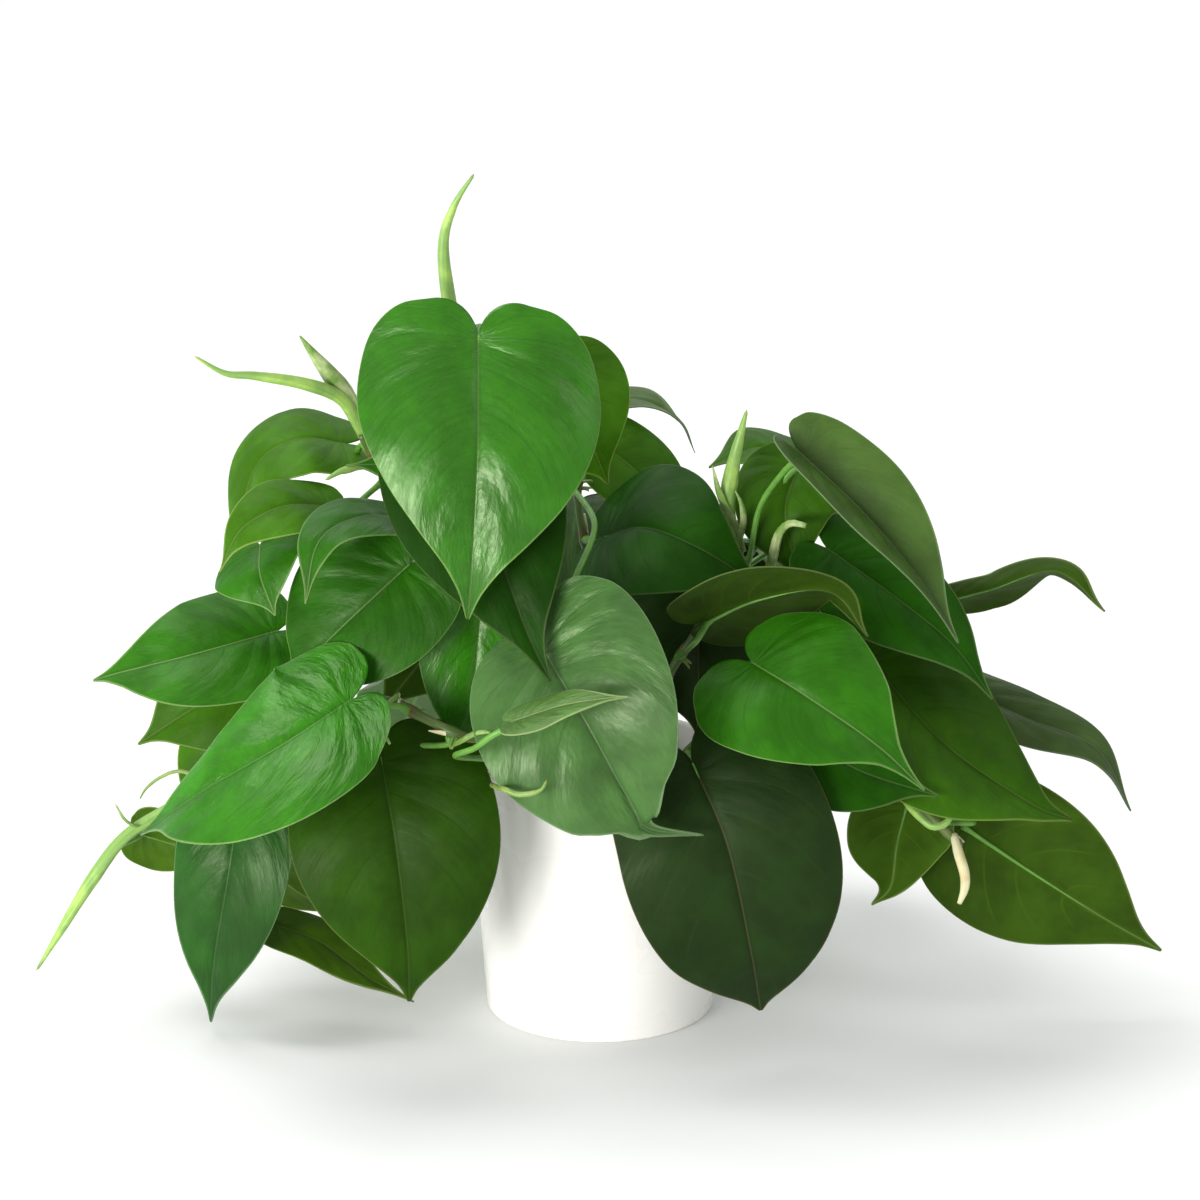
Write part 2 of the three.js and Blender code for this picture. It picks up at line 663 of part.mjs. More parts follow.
// A leaf's stalk, from just off the side of its vine to the notch of its blade.
function stalkGeometry(leaf, bladeCurve) {
  const vine = vineCurve(VINES[leaf.vine]);
  const stemPoint = vine.getPointAt(leaf.at);
  const stemWay = vine.getTangentAt(leaf.at);
  const { place, tangent, outward } = midribFrame(bladeCurve, facingOf(leaf.facing), 0);
  const sideways = place.clone().sub(stemPoint);
  sideways.addScaledVector(stemWay, -sideways.dot(stemWay)).normalize();
  const start = vineRadius(leaf.at) + CLEARANCE;
  const approach = place.clone().addScaledVector(outward, -STALK_BEHIND);
  approach.addScaledVector(tangent, -STALK_SHORT_OF);
  const points = [
    stemPoint.clone().addScaledVector(sideways, start),
    stemPoint.clone().addScaledVector(sideways, start + STALK_STANDING).addScaledVector(UP, 1),
    ...(leaf.via ?? [approach.toArray()]).map(vector),
    place.clone().addScaledVector(tangent, STALK_INTO_BLADE),
  ];
  const curve = smoothCurve(points.map((point) => point.toArray()));
  return stem(curve, STALK_STEPS, STALK_SIDES, () => STALK_RADIUS);
}

function leafGeometry(entry) {
  const leaf = { ...PLAIN_LEAF, ...entry };
  const curve = smoothCurve(leaf.midrib);
  return fused([bladeGeometry(bladeSheet(leaf, curve)), stalkGeometry(leaf, curve)]);
}

const plant = new THREE.Group();
plant.name = "potted_heartleaf_philodendron";

function addPiece(name, geometry, color, roughness) {
  const material = new THREE.MeshStandardMaterial({ color, roughness, metalness: 0 });
  const piece = new THREE.Mesh(geometry, material);
  piece.name = name;
  plant.add(piece);
}

addPiece("pot", potGeometry(), "#f2f1ee", 0.3);
addPiece("soil", soilGeometry(), "#3b2a1c", 0.95);
for (const [name, vine] of Object.entries(VINES)) addPiece(name, vineGeometry(vine), STEM_GREEN, 0.55);
for (const [name, leaf] of Object.entries(LEAVES)) addPiece(name, leafGeometry(leaf), GREEN, 0.4);

export default plant;
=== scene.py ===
# A potted heartleaf philodendron: a white glazed pot, its soil, trailing vines with young shoots, and
# glossy heart-shaped leaves. The tables of its pieces are in millimetres, the stage is in metres, and the
# front of the plant faces -Y.
import math
import random

import bmesh
import bpy
from mathutils import Euler, Matrix, Vector, noise


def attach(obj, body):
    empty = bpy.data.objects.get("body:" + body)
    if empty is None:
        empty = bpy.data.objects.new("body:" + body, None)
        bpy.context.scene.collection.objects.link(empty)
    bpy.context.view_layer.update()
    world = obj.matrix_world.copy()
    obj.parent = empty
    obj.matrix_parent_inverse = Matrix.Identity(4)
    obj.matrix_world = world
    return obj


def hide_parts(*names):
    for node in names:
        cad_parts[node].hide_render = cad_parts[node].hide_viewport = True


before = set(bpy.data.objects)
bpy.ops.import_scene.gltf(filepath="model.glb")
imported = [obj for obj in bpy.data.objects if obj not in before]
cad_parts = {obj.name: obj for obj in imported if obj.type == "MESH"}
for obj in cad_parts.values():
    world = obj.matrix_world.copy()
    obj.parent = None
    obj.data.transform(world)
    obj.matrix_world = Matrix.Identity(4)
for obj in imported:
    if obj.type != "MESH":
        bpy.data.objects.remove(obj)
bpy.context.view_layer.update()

bl_info = {
    "name": "Potted Heartleaf Philodendron",
    "version": (1, 0, 0),
    "blender": (4, 5, 0),
    "location": "View3D > Sidebar > Philodendron",
    "description": "Builds a trailing philodendron in a round white pot, leaf by leaf",
    "category": "Add Mesh",
}

MM = 0.001
BODY = "root"

# The pot and its soil.
POT_HEIGHT = 104
RIM_RADIUS = 52
FOOT_RADIUS = 44.5
POT_WALL = 4
POT_FLOOR = 6
FOOT_ROUNDING = 1.4
RIM_ROUNDING = 1.6
LIP_ROUNDING = 1.4
INNER_ROUNDING = 3
TURN_STEPS = 128
SOIL_HEIGHT = 93
SOIL_RADIUS = 47.0
SOIL_GAP = 0.5
SOIL_CORNER = 3
SOIL_EDGE_DROP = 2
SOIL_RINGS = 22
# The soil rises in the middle and falls to the wall, with lumps of two sizes: how wide, how high, and the
# layer of the noise that each is read from.
SOIL_RISE = 1.5
SOIL_FALL = 3.0
SOIL_LUMPS = ((9, 1.1, 0.3), (3.5, 0.6, 1.7))
# How far from the middle crumbs lie on it.
CRUMB_REACH = 45.5

# The stems: how deep they stand, and how they lean out of the soil.
STEM_DEPTH = 24
LEAN = 0.12
LEAN_HEIGHT = 11
VINE_BASE_RADIUS = 2.3
VINE_END_RADIUS = 1.8
CLEARANCE = 0.4

# Half of a blade's outline, from the lobe beside the notch to the tip: the half width, the distance past
# the notch, and where on the midrib the row that ends there starts, as shares of the blade's length.
OUTLINE = [
    (0.15, -0.105, 0),
    (0.27, -0.075, 0.008),
    (0.365, 0.02, 0.018),
    (0.41, 0.15, 0.03),
    (0.415, 0.29, 0.055),
    (0.375, 0.43, 0.12),
    (0.295, 0.57, 0.24),
    (0.19, 0.7, 0.42),
    (0.095, 0.81, 0.61),
    (0.04, 0.9, 0.79),
    (0.006, 1, 1),
]
WIDEST_SHARE = 0.415
NOTCH_BULGE = 0.022
NOTCH_ROWS_SHARE = 0.2
BULGE_DROP = 0.35
LOBE_ROWS_SHARE = 0.12
TAIL_START = 0.65
TAIL_LENGTH = 0.15

# Each vine: where it leaves the soil, the points it passes, and its shoots. A roll is a leaf that has not
# opened yet, a stem or root is round, and each of them has radii. A sheath or husk is a boat, with widths,
# the way its back looks, and the angle that it is bent round.
VINES = {
    "top_vine": {
        "root": [-14, -6],
        "points": [[-20, 2, 140], [-33, 6, 175], [-46, 0, 217], [-53, -14, 251], [-55, -20, 280]],
        "shoots": [
            {
                "kind": "roll",
                "points": [[-55, -19, 276], [-58, -22, 306], [-54, -24, 322], [-46, -26, 335]],
                "radii": [2.6, 2.2, 1.5, 0.4],
            },
        ],
    },
    "upper_left_vine": {
        "root": [-26, 8],
        "points": [[-31, 10, 126], [-51, 10, 158], [-69, 8, 191], [-82, 2, 214], [-90, -6, 231]],
        "shoots": [
            {
                "kind": "sheath",
                "points": [
                    [-88, -3, 226], [-94, -8, 242], [-101, -12, 255], [-107, -14, 264], [-112, -16, 272],
                ],
                "widths": [4.5, 7, 8.5, 5, 0.8], "facing": [-15, 20], "cup": 75,
            },
            {
                "kind": "roll",
                "points": [
                    [-90, -4, 232], [-97, -9, 246], [-110, -18, 254], [-128, -26, 259], [-139, -30, 261],
                    [-150, -32, 268],
                ],
                "radii": [1.9, 2.2, 2.1, 1.7, 1.1, 0.4],
            },
            {
                "kind": "stem",
                "points": [[-84, 4, 214], [-88, -4, 219], [-97, -10, 219], [-104, -14, 216]],
                "radii": [1.1, 1.2, 1.4, 0.5],
            },
        ],
    },
    "lower_left_vine": {
        "root": [-26, -18],
        "points": [
            [-35, -50, 125], [-50, -66, 131], [-65, -62, 137], [-83, -45, 139],
            [-110, -30, 125], [-140, -22, 105], [-165, -14, 87],
        ],
        "shoots": [
            {
                "kind": "roll",
                "points": [
                    [-163, -14, 88], [-183, -19, 76], [-196, -24, 60], [-208, -28, 41], [-218, -32, 25],
                ],
                "radii": [1.6, 1.9, 2.3, 1.6, 0.4],
            },
            {
                "kind": "sheath",
                "points": [[-172, -14, 83], [-178, -18, 79], [-183, -23, 83], [-186, -26, 91]],
                "widths": [3, 3.4, 2.6, 0.8], "facing": [-50, -20], "cup": 70,
            },
            {
                "kind": "sheath",
                "points": [
                    [-76, -52, 138], [-75, -62, 146], [-79, -71, 146], [-81, -79, 144], [-80, -85, 140],
                    [-77, -87, 135],
                ],
                "widths": [1.6, 2.2, 2.8, 3, 2.8, 1.4], "facing": [-60, 10], "cup": 70,
            },
            {
                "kind": "sheath",
                "points": [[-54, -68, 130], [-49, -78, 136], [-45, -85, 140], [-40, -90, 141]],
                "widths": [4, 5, 4.5, 1.2], "facing": [0, 60], "cup": 75,
            },
            {
                "kind": "root",
                "points": [
                    [-42, -58, 127], [-48, -54, 117], [-45, -58, 112], [-41, -64, 112], [-38, -79, 116],
                    [-36, -92, 120], [-34, -100, 122], [-30, -102, 121], [-25, -104, 122], [-21, -105, 124],
                    [-19, -105, 128],
                ],
                "radii": [0.9, 0.9, 1, 1, 1, 1, 1.1, 1.1, 1.1, 1, 0.4],
            },
            {
                "kind": "root",
                "points": [
                    [-150, -19, 98], [-161, -19, 102], [-169, -17, 99], [-175, -16, 94], [-178, -15, 89],
                ],
                "radii": [0.8, 0.8, 0.7, 0.6, 0.3],
            },
        ],
    },
    "middle_vine": {
        "root": [2, -10],
        "points": [[2, 0, 135], [-2, 8, 166], [-8, 8, 198], [-9, 2, 216]],
        "shoots": [],
    },
    "upper_right_vine": {
        "root": [22, 2],
        "points": [[26, 0, 133], [43, -6, 163], [53, -14, 189]],
        "shoots": [
            {
                "kind": "roll",
                "points": [[52, -13, 187], [48, -17, 205], [49, -18, 218], [52, -20, 233], [55, -20, 245]],
                "radii": [1.8, 2.4, 2.8, 1.9, 0.4],
            },
            {
                "kind": "sheath",
                "points": [[53, -13, 188], [49, -18, 200], [44, -21, 212], [42, -24, 224]],
                "widths": [4.5, 5.5, 4.5, 0.8], "facing": [-60, 0], "cup": 80,
            },
            {
                "kind": "sheath",
                "points": [[53, -14, 190], [55, -19, 200], [54, -21, 208], [51, -22, 214]],
                "widths": [4.5, 4.5, 3, 0.6], "facing": [50, 0], "cup": 75,
            },
            {
                "kind": "sheath",
                "points": [[63, -14, 178], [65, -19, 189], [67, -23, 198], [71, -27, 203], [77, -31, 203]],
                "widths": [4, 4.6, 4, 3.2, 2], "facing": [-20, 30], "cup": 65,
            },
        ],
    },
    "lower_right_vine": {
        "root": [30, -14],
        "points": [
            [42, -34, 123], [62, -44, 127], [87, -38, 122],
            [111, -36, 105], [126, -37, 90], [137, -38, 79],
        ],
        "shoots": [
            {
                "kind": "husk",
                "points": [[135, -39, 84], [137, -45, 77], [139, -48, 70], [139, -48, 64], [137, -47, 58]],
                "widths": [3, 4.2, 4.2, 3.8, 2], "facing": [15, 0], "cup": 80,
            },
            {
                "kind": "stem",
                "points": [
                    [112, -37, 104], [117, -44, 97], [122, -50, 93], [126, -52, 91], [131, -52, 93],
                    [133, -50, 98],
                ],
                "radii": [1.8, 1.7, 1.6, 1.5, 1.4, 0.9],
            },
        ],
    },
    "back_left_vine": {
        "root": [-12, 24],
        "points": [[-16, 34, 124], [-28, 50, 150], [-46, 62, 158], [-62, 74, 144], [-68, 80, 128]],
        "shoots": [],
    },
    "back_right_vine": {
        "root": [16, 22],
        "points": [[20, 32, 124], [30, 48, 152], [46, 62, 160], [60, 74, 144], [66, 80, 128]],
        "shoots": [],
    },
}

# Each leaf: its midrib from the notch to the tip, its full width, and the way its upper face looks (azimuth
# from the front, turning to the right, and elevation). fold and bend are the angles of its two halves at
# the midrib and from there to the margin, in degrees; skew slants its lobes, belly moves its widest place
# towards the tip, and tail draws the tip out. look names its skin, and the step of painted light and shade
# says how much lighter or darker its colour is drawn for its place in the plant; crinkle scales its relief.
# vine and at say which vine carries it and how far along; via says where its stalk passes.
LEAVES = {
    "leaf_crown": {
        "midrib": [[-44, -60, 283], [-44, -80, 244], [-46, -86, 205], [-48, -84, 182]],
        "width": 91, "facing": [-2, 18], "fold": [12, 16], "bend": [-45, -45], "skew": 4,
        "look": "glossy", "painted_light": "soft", "crinkle": 1.2, "vine": "top_vine", "at": 0.97,
    },
    "leaf_crown_right": {
        "midrib": [[-20, -20, 260], [-6, -22, 238], [3, -12, 214]],
        "width": 54, "facing": [20, 20],
        "look": "olive", "painted_light": "bright", "vine": "top_vine", "at": 0.8,
    },
    "leaf_crown_low": {
        "midrib": [[0, 27, 221], [19, 24, 205], [40, 21, 174]],
        "width": 40, "facing": [30, 40],
        "look": "olive", "painted_light": "lit", "vine": "middle_vine", "at": 0.95,
    },
    "leaf_crown_far": {
        "midrib": [[-39, 42, 219], [-12, 50, 230], [14, 48, 233], [31, 41, 226], [37, 33, 215]],
        "width": 40, "facing": [10, 85], "tail": 0.8,
        "look": "dusty", "painted_light": "soft", "vine": "top_vine", "at": 0.6,
    },
    "leaf_under_crown": {
        "midrib": [[-56, -46, 245], [-39, -66, 207], [-27, -78, 176], [-18, -86, 159]],
        "width": 66, "facing": [-5, 25],
        "look": "shaded", "painted_light": "deep", "vine": "top_vine", "at": 0.86,
    },
    "leaf_dark_middle": {
        "midrib": [[1, -10, 193], [17, -26, 201], [39, -38, 195], [62, -36, 179]],
        "width": 68, "facing": [0, 50], "skew": -8,
        "look": "shaded", "painted_light": "dim", "crinkle": 0.8, "vine": "middle_vine", "at": 0.8,
    },
    "leaf_left_middle": {
        "midrib": [[-71, -42, 191], [-92, -46, 172], [-109, -41, 154], [-117, -36, 145]],
        "width": 61, "facing": [-8, 35],
        "look": "vivid", "painted_light": "dim", "vine": "upper_left_vine", "at": 0.69, "skew": -10, "belly": 0.5,
    },
    "leaf_left_curled": {
        "midrib": [[-69, -33, 206], [-88, -48, 211], [-103, -61, 205], [-108, -68, 183]],
        "width": 37, "facing": [-30, 65],
        "look": "vivid", "painted_light": "dim", "vine": "upper_left_vine", "at": 0.62,
        "via": [[-64, -10, 192], [-62, -24, 199]],
    },
    "leaf_shiny": {
        "midrib": [[-91, -75, 149], [-115, -91, 137], [-145, -89, 118], [-171, -69, 94]],
        "width": 70, "facing": [-20, 55],
        "look": "streaked", "painted_light": ["soft", "plain"], "vine": "lower_left_vine", "at": 0.5, "skew": 18,
    },
    "leaf_front_heart": {
        "midrib": [[-82, -58, 122], [-76, -74, 92], [-72, -76, 53], [-72, -68, 27]],
        "width": 80, "facing": [-2, 10], "belly": 0.25,
        "look": "olive", "painted_light": ["deep", "dim"], "crinkle": 0.7, "vine": "lower_left_vine", "at": 0.42,
    },
    "leaf_hanging_left": {
        "midrib": [[-136, -34, 103], [-141, -46, 71], [-148, -42, 33], [-151, -32, 4]],
        "width": 49, "facing": [-20, 15], "belly": 0.2,
        "look": "bluish", "painted_light": ["soft", "plain"], "crinkle": 1.2, "vine": "lower_left_vine", "at": 0.78,
    },
    "leaf_far_left_low": {
        "midrib": [[-181, 0, 71], [-162, 2, 63], [-144, 4, 52]],
        "width": 40, "facing": [-150, 40],
        "look": "backlit", "painted_light": "lit", "vine": "lower_left_vine", "at": 0.98,
    },
    "leaf_left_back": {
        "midrib": [[-127, 10, 113], [-150, 14, 93], [-162, 16, 63]],
        "width": 50, "facing": [-20, 20],
        "look": "olive", "painted_light": "lit", "vine": "lower_left_vine", "at": 0.62,
        "via": [[-112, -10, 116], [-116, 6, 113]],
    },
    "leaf_left_point": {
        "midrib": [[-128, -4, 135], [-153, -8, 126], [-179, -4, 108]],
        "width": 50, "facing": [-30, 15],
        "look": "olive", "vine": "lower_left_vine", "at": 0.68,
    },
    "leaf_left_wing": {
        "midrib": [[-123, -14, 157], [-155, -26, 151], [-181, -22, 143], [-194, -14, 137]],
        "width": 56, "facing": [-25, 45],
        "look": "vivid", "painted_light": "soft", "vine": "upper_left_vine", "at": 0.4,
    },
    "leaf_arch_high": {
        "midrib": [[-98, 17, 223], [-116, 11, 226], [-133, 9, 214], [-142, 11, 174]],
        "width": 46, "facing": [-50, 50],
        "look": "olive", "painted_light": "lit", "vine": "upper_left_vine", "at": 0.95,
    },
    "leaf_arch_middle": {
        "midrib": [[-101, -18, 207], [-118, -29, 210], [-134, -33, 202], [-143, -28, 184]],
        "width": 33, "facing": [-30, 45],
        "look": "olive", "painted_light": "lit", "vine": "upper_left_vine", "at": 0.88,
    },
    "leaf_arch_low": {
        "midrib": [[-129, -14, 191], [-128, -28, 183], [-122, -35, 169]],
        "width": 44, "facing": [-35, 30],
        "look": "vivid", "painted_light": "soft", "vine": "upper_left_vine", "at": 0.76,
        "via": [[-98, -2, 188], [-116, -10, 190]],
    },
    "leaf_dark_left": {
        "midrib": [[-57, -12, 214], [-76, -12, 221], [-96, -10, 221]],
        "width": 20, "facing": [-10, 35],
        "look": "shaded", "vine": "top_vine", "at": 0.68,
    },
    "leaf_bright": {
        "midrib": [[56, -62, 159], [73, -76, 152], [101, -80, 133], [120, -74, 113]],
        "width": 66, "facing": [5, 30], "skew": 10,
        "look": "vivid", "painted_light": "soft", "crinkle": 0.8,
        "vine": "lower_right_vine", "at": 0.38, "belly": -0.35, "tail": 0.3,
    },
    "leaf_turned_over": {
        "midrib": [[38, -44, 169], [59, -50, 180], [85, -58, 185], [99, -60, 168]],
        "width": 52, "facing": [170, 50],
        "look": "backlit", "painted_light": "dim", "vine": "upper_right_vine", "at": 0.6,
    },
    "leaf_front_dark": {
        "midrib": [[34, -66, 122], [47, -80, 94], [56, -78, 53], [61, -62, 21]],
        "width": 82, "facing": [4, 5], "belly": 0.6,
        "look": "darkest", "painted_light": "soft", "crinkle": 0.6, "vine": "lower_right_vine", "at": 0.25,
    },
    "leaf_under_bright": {
        "midrib": [[69, -52, 136], [93, -60, 118], [127, -58, 105]],
        "width": 44, "facing": [0, 30],
        "look": "shaded", "painted_light": "soft", "vine": "lower_right_vine", "at": 0.53,
    },
    "leaf_big_right": {
        "midrib": [[101, -22, 150], [130, -38, 120], [163, -42, 97], [180, -36, 88]],
        "width": 72, "facing": [25, 35],
        "look": "olive", "painted_light": ["dim", "plain"], "vine": "lower_right_vine", "at": 0.62,
    },
    "leaf_tall_right": {
        "midrib": [[74, -34, 232], [96, -44, 213], [117, -48, 189], [134, -44, 161]],
        "width": 42, "facing": [35, 30], "fold": [40, 40], "bend": [-10, -10],
        "look": "dusty", "painted_light": "soft", "vine": "upper_right_vine", "at": 0.98,
        "via": [[60, -22, 207], [68, -28, 222]],
    },
    "leaf_tall_right_back": {
        "midrib": [[88, 10, 214], [104, 8, 194], [122, 8, 168]],
        "width": 46, "facing": [35, 35],
        "look": "dusty", "vine": "upper_right_vine", "at": 0.7,
        "via": [[54, 0, 176], [74, 10, 188], [88, 14, 204]],
    },
    "leaf_shelf_right": {
        "midrib": [[86, -20, 191], [109, -32, 177], [132, -38, 159], [148, -38, 137]],
        "width": 50, "facing": [20, 45],
        "look": "shaded", "painted_light": "soft", "vine": "upper_right_vine", "at": 0.85,
    },
    "leaf_dark_right": {
        "midrib": [[76, -4, 221], [70, -14, 203], [76, -18, 176]],
        "width": 42, "facing": [-10, 30],
        "look": "olive", "painted_light": "soft", "vine": "upper_right_vine", "at": 0.8,
        "via": [[66, -10, 200], [70, -8, 214]],
    },
    "leaf_top_right_back": {
        "midrib": [[76, 26, 217], [60, 22, 220], [42, 18, 213]],
        "width": 44, "facing": [0, 80],
        "look": "olive", "vine": "back_right_vine", "at": 0.3,
        "via": [[44, 34, 172], [72, 34, 206]],
    },
    "leaf_reach_high": {
        "midrib": [[130, -4, 166], [150, -4, 171], [175, -4, 178], [194, -2, 161]],
        "width": 42, "facing": [150, 55],
        "look": "backlit", "painted_light": "soft", "vine": "lower_right_vine", "at": 0.6,
        "via": [[100, -4, 128], [120, 4, 150]],
    },
    "leaf_reach_middle": {
        "midrib": [[138, 8, 128], [165, -2, 118], [192, -6, 107], [207, -2, 80]],
        "width": 29, "facing": [30, 50],
        "look": "dusty", "painted_light": "dim", "vine": "lower_right_vine", "at": 0.8,
    },
    "leaf_reach_low": {
        "midrib": [[140, -11, 78], [168, -17, 60], [195, -17, 42], [220, -10, 25]],
        "width": 66, "facing": [175, 5],
        "look": "backlit", "painted_light": "soft", "vine": "lower_right_vine", "at": 0.96,
        "via": [[143, -28, 84], [141, -17, 82]],
    },
    "leaf_hooked": {
        "midrib": [[118, -26, 93], [114, -28, 76], [112, -27, 58], [105, -26, 50]],
        "width": 42, "facing": [180, 20],
        "look": "backlit", "painted_light": "lit", "vine": "lower_right_vine", "at": 0.8,
    },
    "leaf_dark_low_left": {
        "midrib": [[-138, 12, 59], [-120, 12, 42], [-99, 8, 32]],
        "width": 40, "facing": [150, 30],
        "look": "backlit", "vine": "lower_left_vine", "at": 0.9,
    },
    "leaf_sliver": {
        "midrib": [[-128, -20, 40], [-109, -26, 35], [-89, -30, 21], [-72, -34, 13]],
        "width": 24, "facing": [20, 60],
        "look": "backlit", "vine": "lower_left_vine", "at": 0.92,
        "via": [[-132, -14, 64], [-130, -17, 48]],
    },
    "leaf_inner_bright": {
        "midrib": [[-43, -32, 188], [-46, -38, 158], [-50, -43, 113]],
        "width": 46, "facing": [10, 20],
        "look": "glossy", "vine": "top_vine", "at": 0.5, "belly": 0.5,
    },
    "leaf_inner_olive": {
        "midrib": [[-52, -12, 171], [-65, -14, 150], [-85, -16, 124]],
        "width": 50, "facing": [160, 40],
        "look": "backlit", "vine": "upper_left_vine", "at": 0.5,
    },
    "leaf_grey": {
        "midrib": [[-22, -72, 169], [-5, -92, 145], [12, -96, 114], [18, -94, 105], [38, -90, 101]],
        "width": 80, "facing": [-4, 25], "tail": 0.72,
        "look": "greyish", "painted_light": "dim", "crinkle": 1.3, "vine": "middle_vine", "at": 0.97,
        "via": [[-2, -34, 204], [-9, -56, 190], [-15, -68, 178]], "skew": -10, "fold": [32, 8],
    },
    "leaf_young": {
        "midrib": [[-31, -112, 152], [-14, -116, 159], [0, -118, 162], [10, -118, 163]],
        "width": 22, "facing": [0, 74],
        "look": "young", "painted_light": "soft", "vine": "lower_left_vine", "at": 0.24,
        "via": [[-52, -86, 130], [-45, -106, 140], [-38, -112, 147]],
    },
    "leaf_back_top": {
        "midrib": [[-8, 58, 190], [-10, 84, 178], [-12, 102, 150], [-12, 108, 118]],
        "width": 70, "facing": [180, 30],
        "look": "glossy", "painted_light": "dim", "vine": "middle_vine", "at": 0.7,
    },
    "leaf_back_left_high": {
        "midrib": [[-60, 62, 176], [-84, 80, 166], [-104, 92, 138], [-112, 96, 110]],
        "width": 66, "facing": [-135, 35],
        "look": "glossy", "painted_light": "soft", "vine": "back_left_vine", "at": 0.6,
    },
    "leaf_back_left_low": {
        "midrib": [[-62, 92, 112], [-74, 114, 98], [-84, 126, 70], [-88, 128, 42]],
        "width": 64, "facing": [-150, 25],
        "look": "glossy", "painted_light": "soft", "vine": "back_left_vine", "at": 0.98,
    },
    "leaf_back_middle_low": {
        "midrib": [[-12, 84, 118], [-8, 108, 104], [-4, 120, 76], [-2, 122, 46]],
        "width": 66, "facing": [175, 20],
        "look": "glossy", "painted_light": "soft", "vine": "back_left_vine", "at": 0.35,
    },
    "leaf_back_right_high": {
        "midrib": [[48, 60, 172], [72, 80, 164], [92, 94, 138], [100, 100, 108]],
        "width": 68, "facing": [140, 35],
        "look": "glossy", "painted_light": "soft", "vine": "back_right_vine", "at": 0.5,
    },
    "leaf_back_right_low": {
        "midrib": [[60, 96, 110], [76, 116, 96], [88, 128, 70], [92, 130, 40]],
        "width": 62, "facing": [150, 25],
        "look": "glossy", "painted_light": "soft", "vine": "back_right_vine", "at": 0.98,
    },
    "leaf_back_right_side": {
        "midrib": [[86, 42, 152], [113, 50, 142], [134, 55, 116], [142, 57, 88]],
        "width": 66, "facing": [115, 35],
        "look": "glossy", "painted_light": "soft", "vine": "back_right_vine", "at": 0.7,
    },
    "leaf_back_left_side": {
        "midrib": [[-98, 40, 142], [-124, 48, 132], [-144, 52, 106], [-152, 54, 78]],
        "width": 66, "facing": [-115, 35],
        "look": "glossy", "painted_light": "soft", "vine": "back_left_vine", "at": 0.7,
    },
    "leaf_inner_right": {
        "midrib": [[34, 9, 177], [38, 5, 148], [38, 12, 107]],
        "width": 66, "facing": [5, 20],
        "look": "darkest", "vine": "upper_right_vine", "at": 0.45, "belly": 0.3,
    },
}

# Painted light and shade: how light a leaf is drawn for its place in the plant, from deep shade to the open
# side. Each step is a factor on the colours of its skin.
PAINTED_LIGHT_STEPS = {"deep": 0.4, "dim": 0.55, "soft": 0.75, "plain": 1.0, "lit": 1.25, "bright": 1.6}
# What a leaf has when its own entry says nothing. Its painted light and shade is one step, or two for the
# halves in fold's order.
PLAIN_LEAF = {
    "fold": [12, 12], "bend": [-30, -30], "skew": 0, "belly": 0, "tail": 0, "painted_light": "plain", "crinkle": 1,
}

# How the side veins bow towards the notch on their way out, and the relief of a blade in millimetres.
VEIN_BOW = 0.05
VEIN_WIDTH = 0.13
MIDRIB_DEPTH = 0.55
MIDRIB_WIDTH = 1.3
QUILT_HEIGHT = 0.35
# Where the relief fades in and out: along the blade, and from the midrib to the margin.
MIDRIB_FADES = (0.7, 1)
VEINS_START = (0.04, 0.25)
VEINS_END = (0.7, 0.95)
VEINS_OUT_START = (0, 0.2)
VEINS_OUT_END = (0.75, 1)
# The margin has long waves with shorter ones on them.
MARGIN_WAVES = 10
SHORT_WAVE_SHARE = 0.6
SHORT_WAVE_RATE = 1.9
# The size of the uneven patches across and along a blade, and how soon they start beside the midrib.
RUMPLE_ACROSS = 17
RUMPLE_ALONG = 24
RUMPLE_START = 8
FULL_RELIEF_WIDTH = 70
BLADE_ROWS = 64
HALF_BLADE_COLUMNS = 16

# A leaf stalk: its radius, how it stands out from its vine, and how it comes to the notch from behind the
# blade. It is thicker at its foot and its neck, and runs on under the blade as a rib.
STALK_RADIUS = 1.15
STALK_STANDING = 5
STALK_BEHIND = 7
STALK_SHORT_OF = 4
STALK_INTO_BLADE = 1.5
STALK_UNDER_BLADE = 1.5
STALK_ROOTED = 0.3
STALK_SIDES = 10
STALK_STEP = 2.5
FOOT_SWELL = 0.7
FOOT_REACH = 4
NECK_SWELL = 0.25
NECK_REACH = 3
RIB_STEPS = 14
RIB_START = 0.02
RIB_LENGTH = 0.6
RIB_SUNK = 0.15
RIB_SHARE = 0.95
RIB_TAPER = 1.35
RIB_THINNEST = 0.05

# The shoots: how far the free edge of a rolled leaf stands proud of it, how far a roll turns on its way,
# and where its last column folds over; how thick a sheath is, and how finely it is divided.
SHOOT_SIDES = 16
SHOOT_STEP = 1.6
ROLL_EDGE = 0.3
ROLL_TURN = 2.0
ROLL_LAP = 0.25
SHEATH_THICKNESS = 0.35
SHEATH_COLUMNS = 8
SHEATH_ROWS = 14

# The length of stem that one unit of its UV map covers. The skin of a vine is a little thinner than the
# solid between two joints, and swells at each of them.
STEM_MAP_LENGTH = 100
VINE_SIDES = 12
VINE_STEP = 3.5
VINE_SLIMMER = 0.3
NODE_SWELL = 0.7
NODE_REACH = 3.2
VINE_TIP = 1.2
VINE_TIP_SHARE = 0.6
# The brown scars: beside each joint, and at the tip of a vine or shoot.
SCAR_OFF = 2.5
SCAR_REACH = 1.2
SCAR_IN_JOINT = 0.3
VINE_TIP_SCAR = 0.6
SHOOT_TIP_SCAR = 0.6
SHOOT_SCAR_FROM = 0.86

# What grows at a joint: a dry husk and short roots. A joint at the very end of a vine has neither.
LAST_JOINT = 0.97
HUSK_WIDTHS = [3.6, 3.2, 0.8]
HUSK_CUP = 80
HUSK_DOWN = 0.4
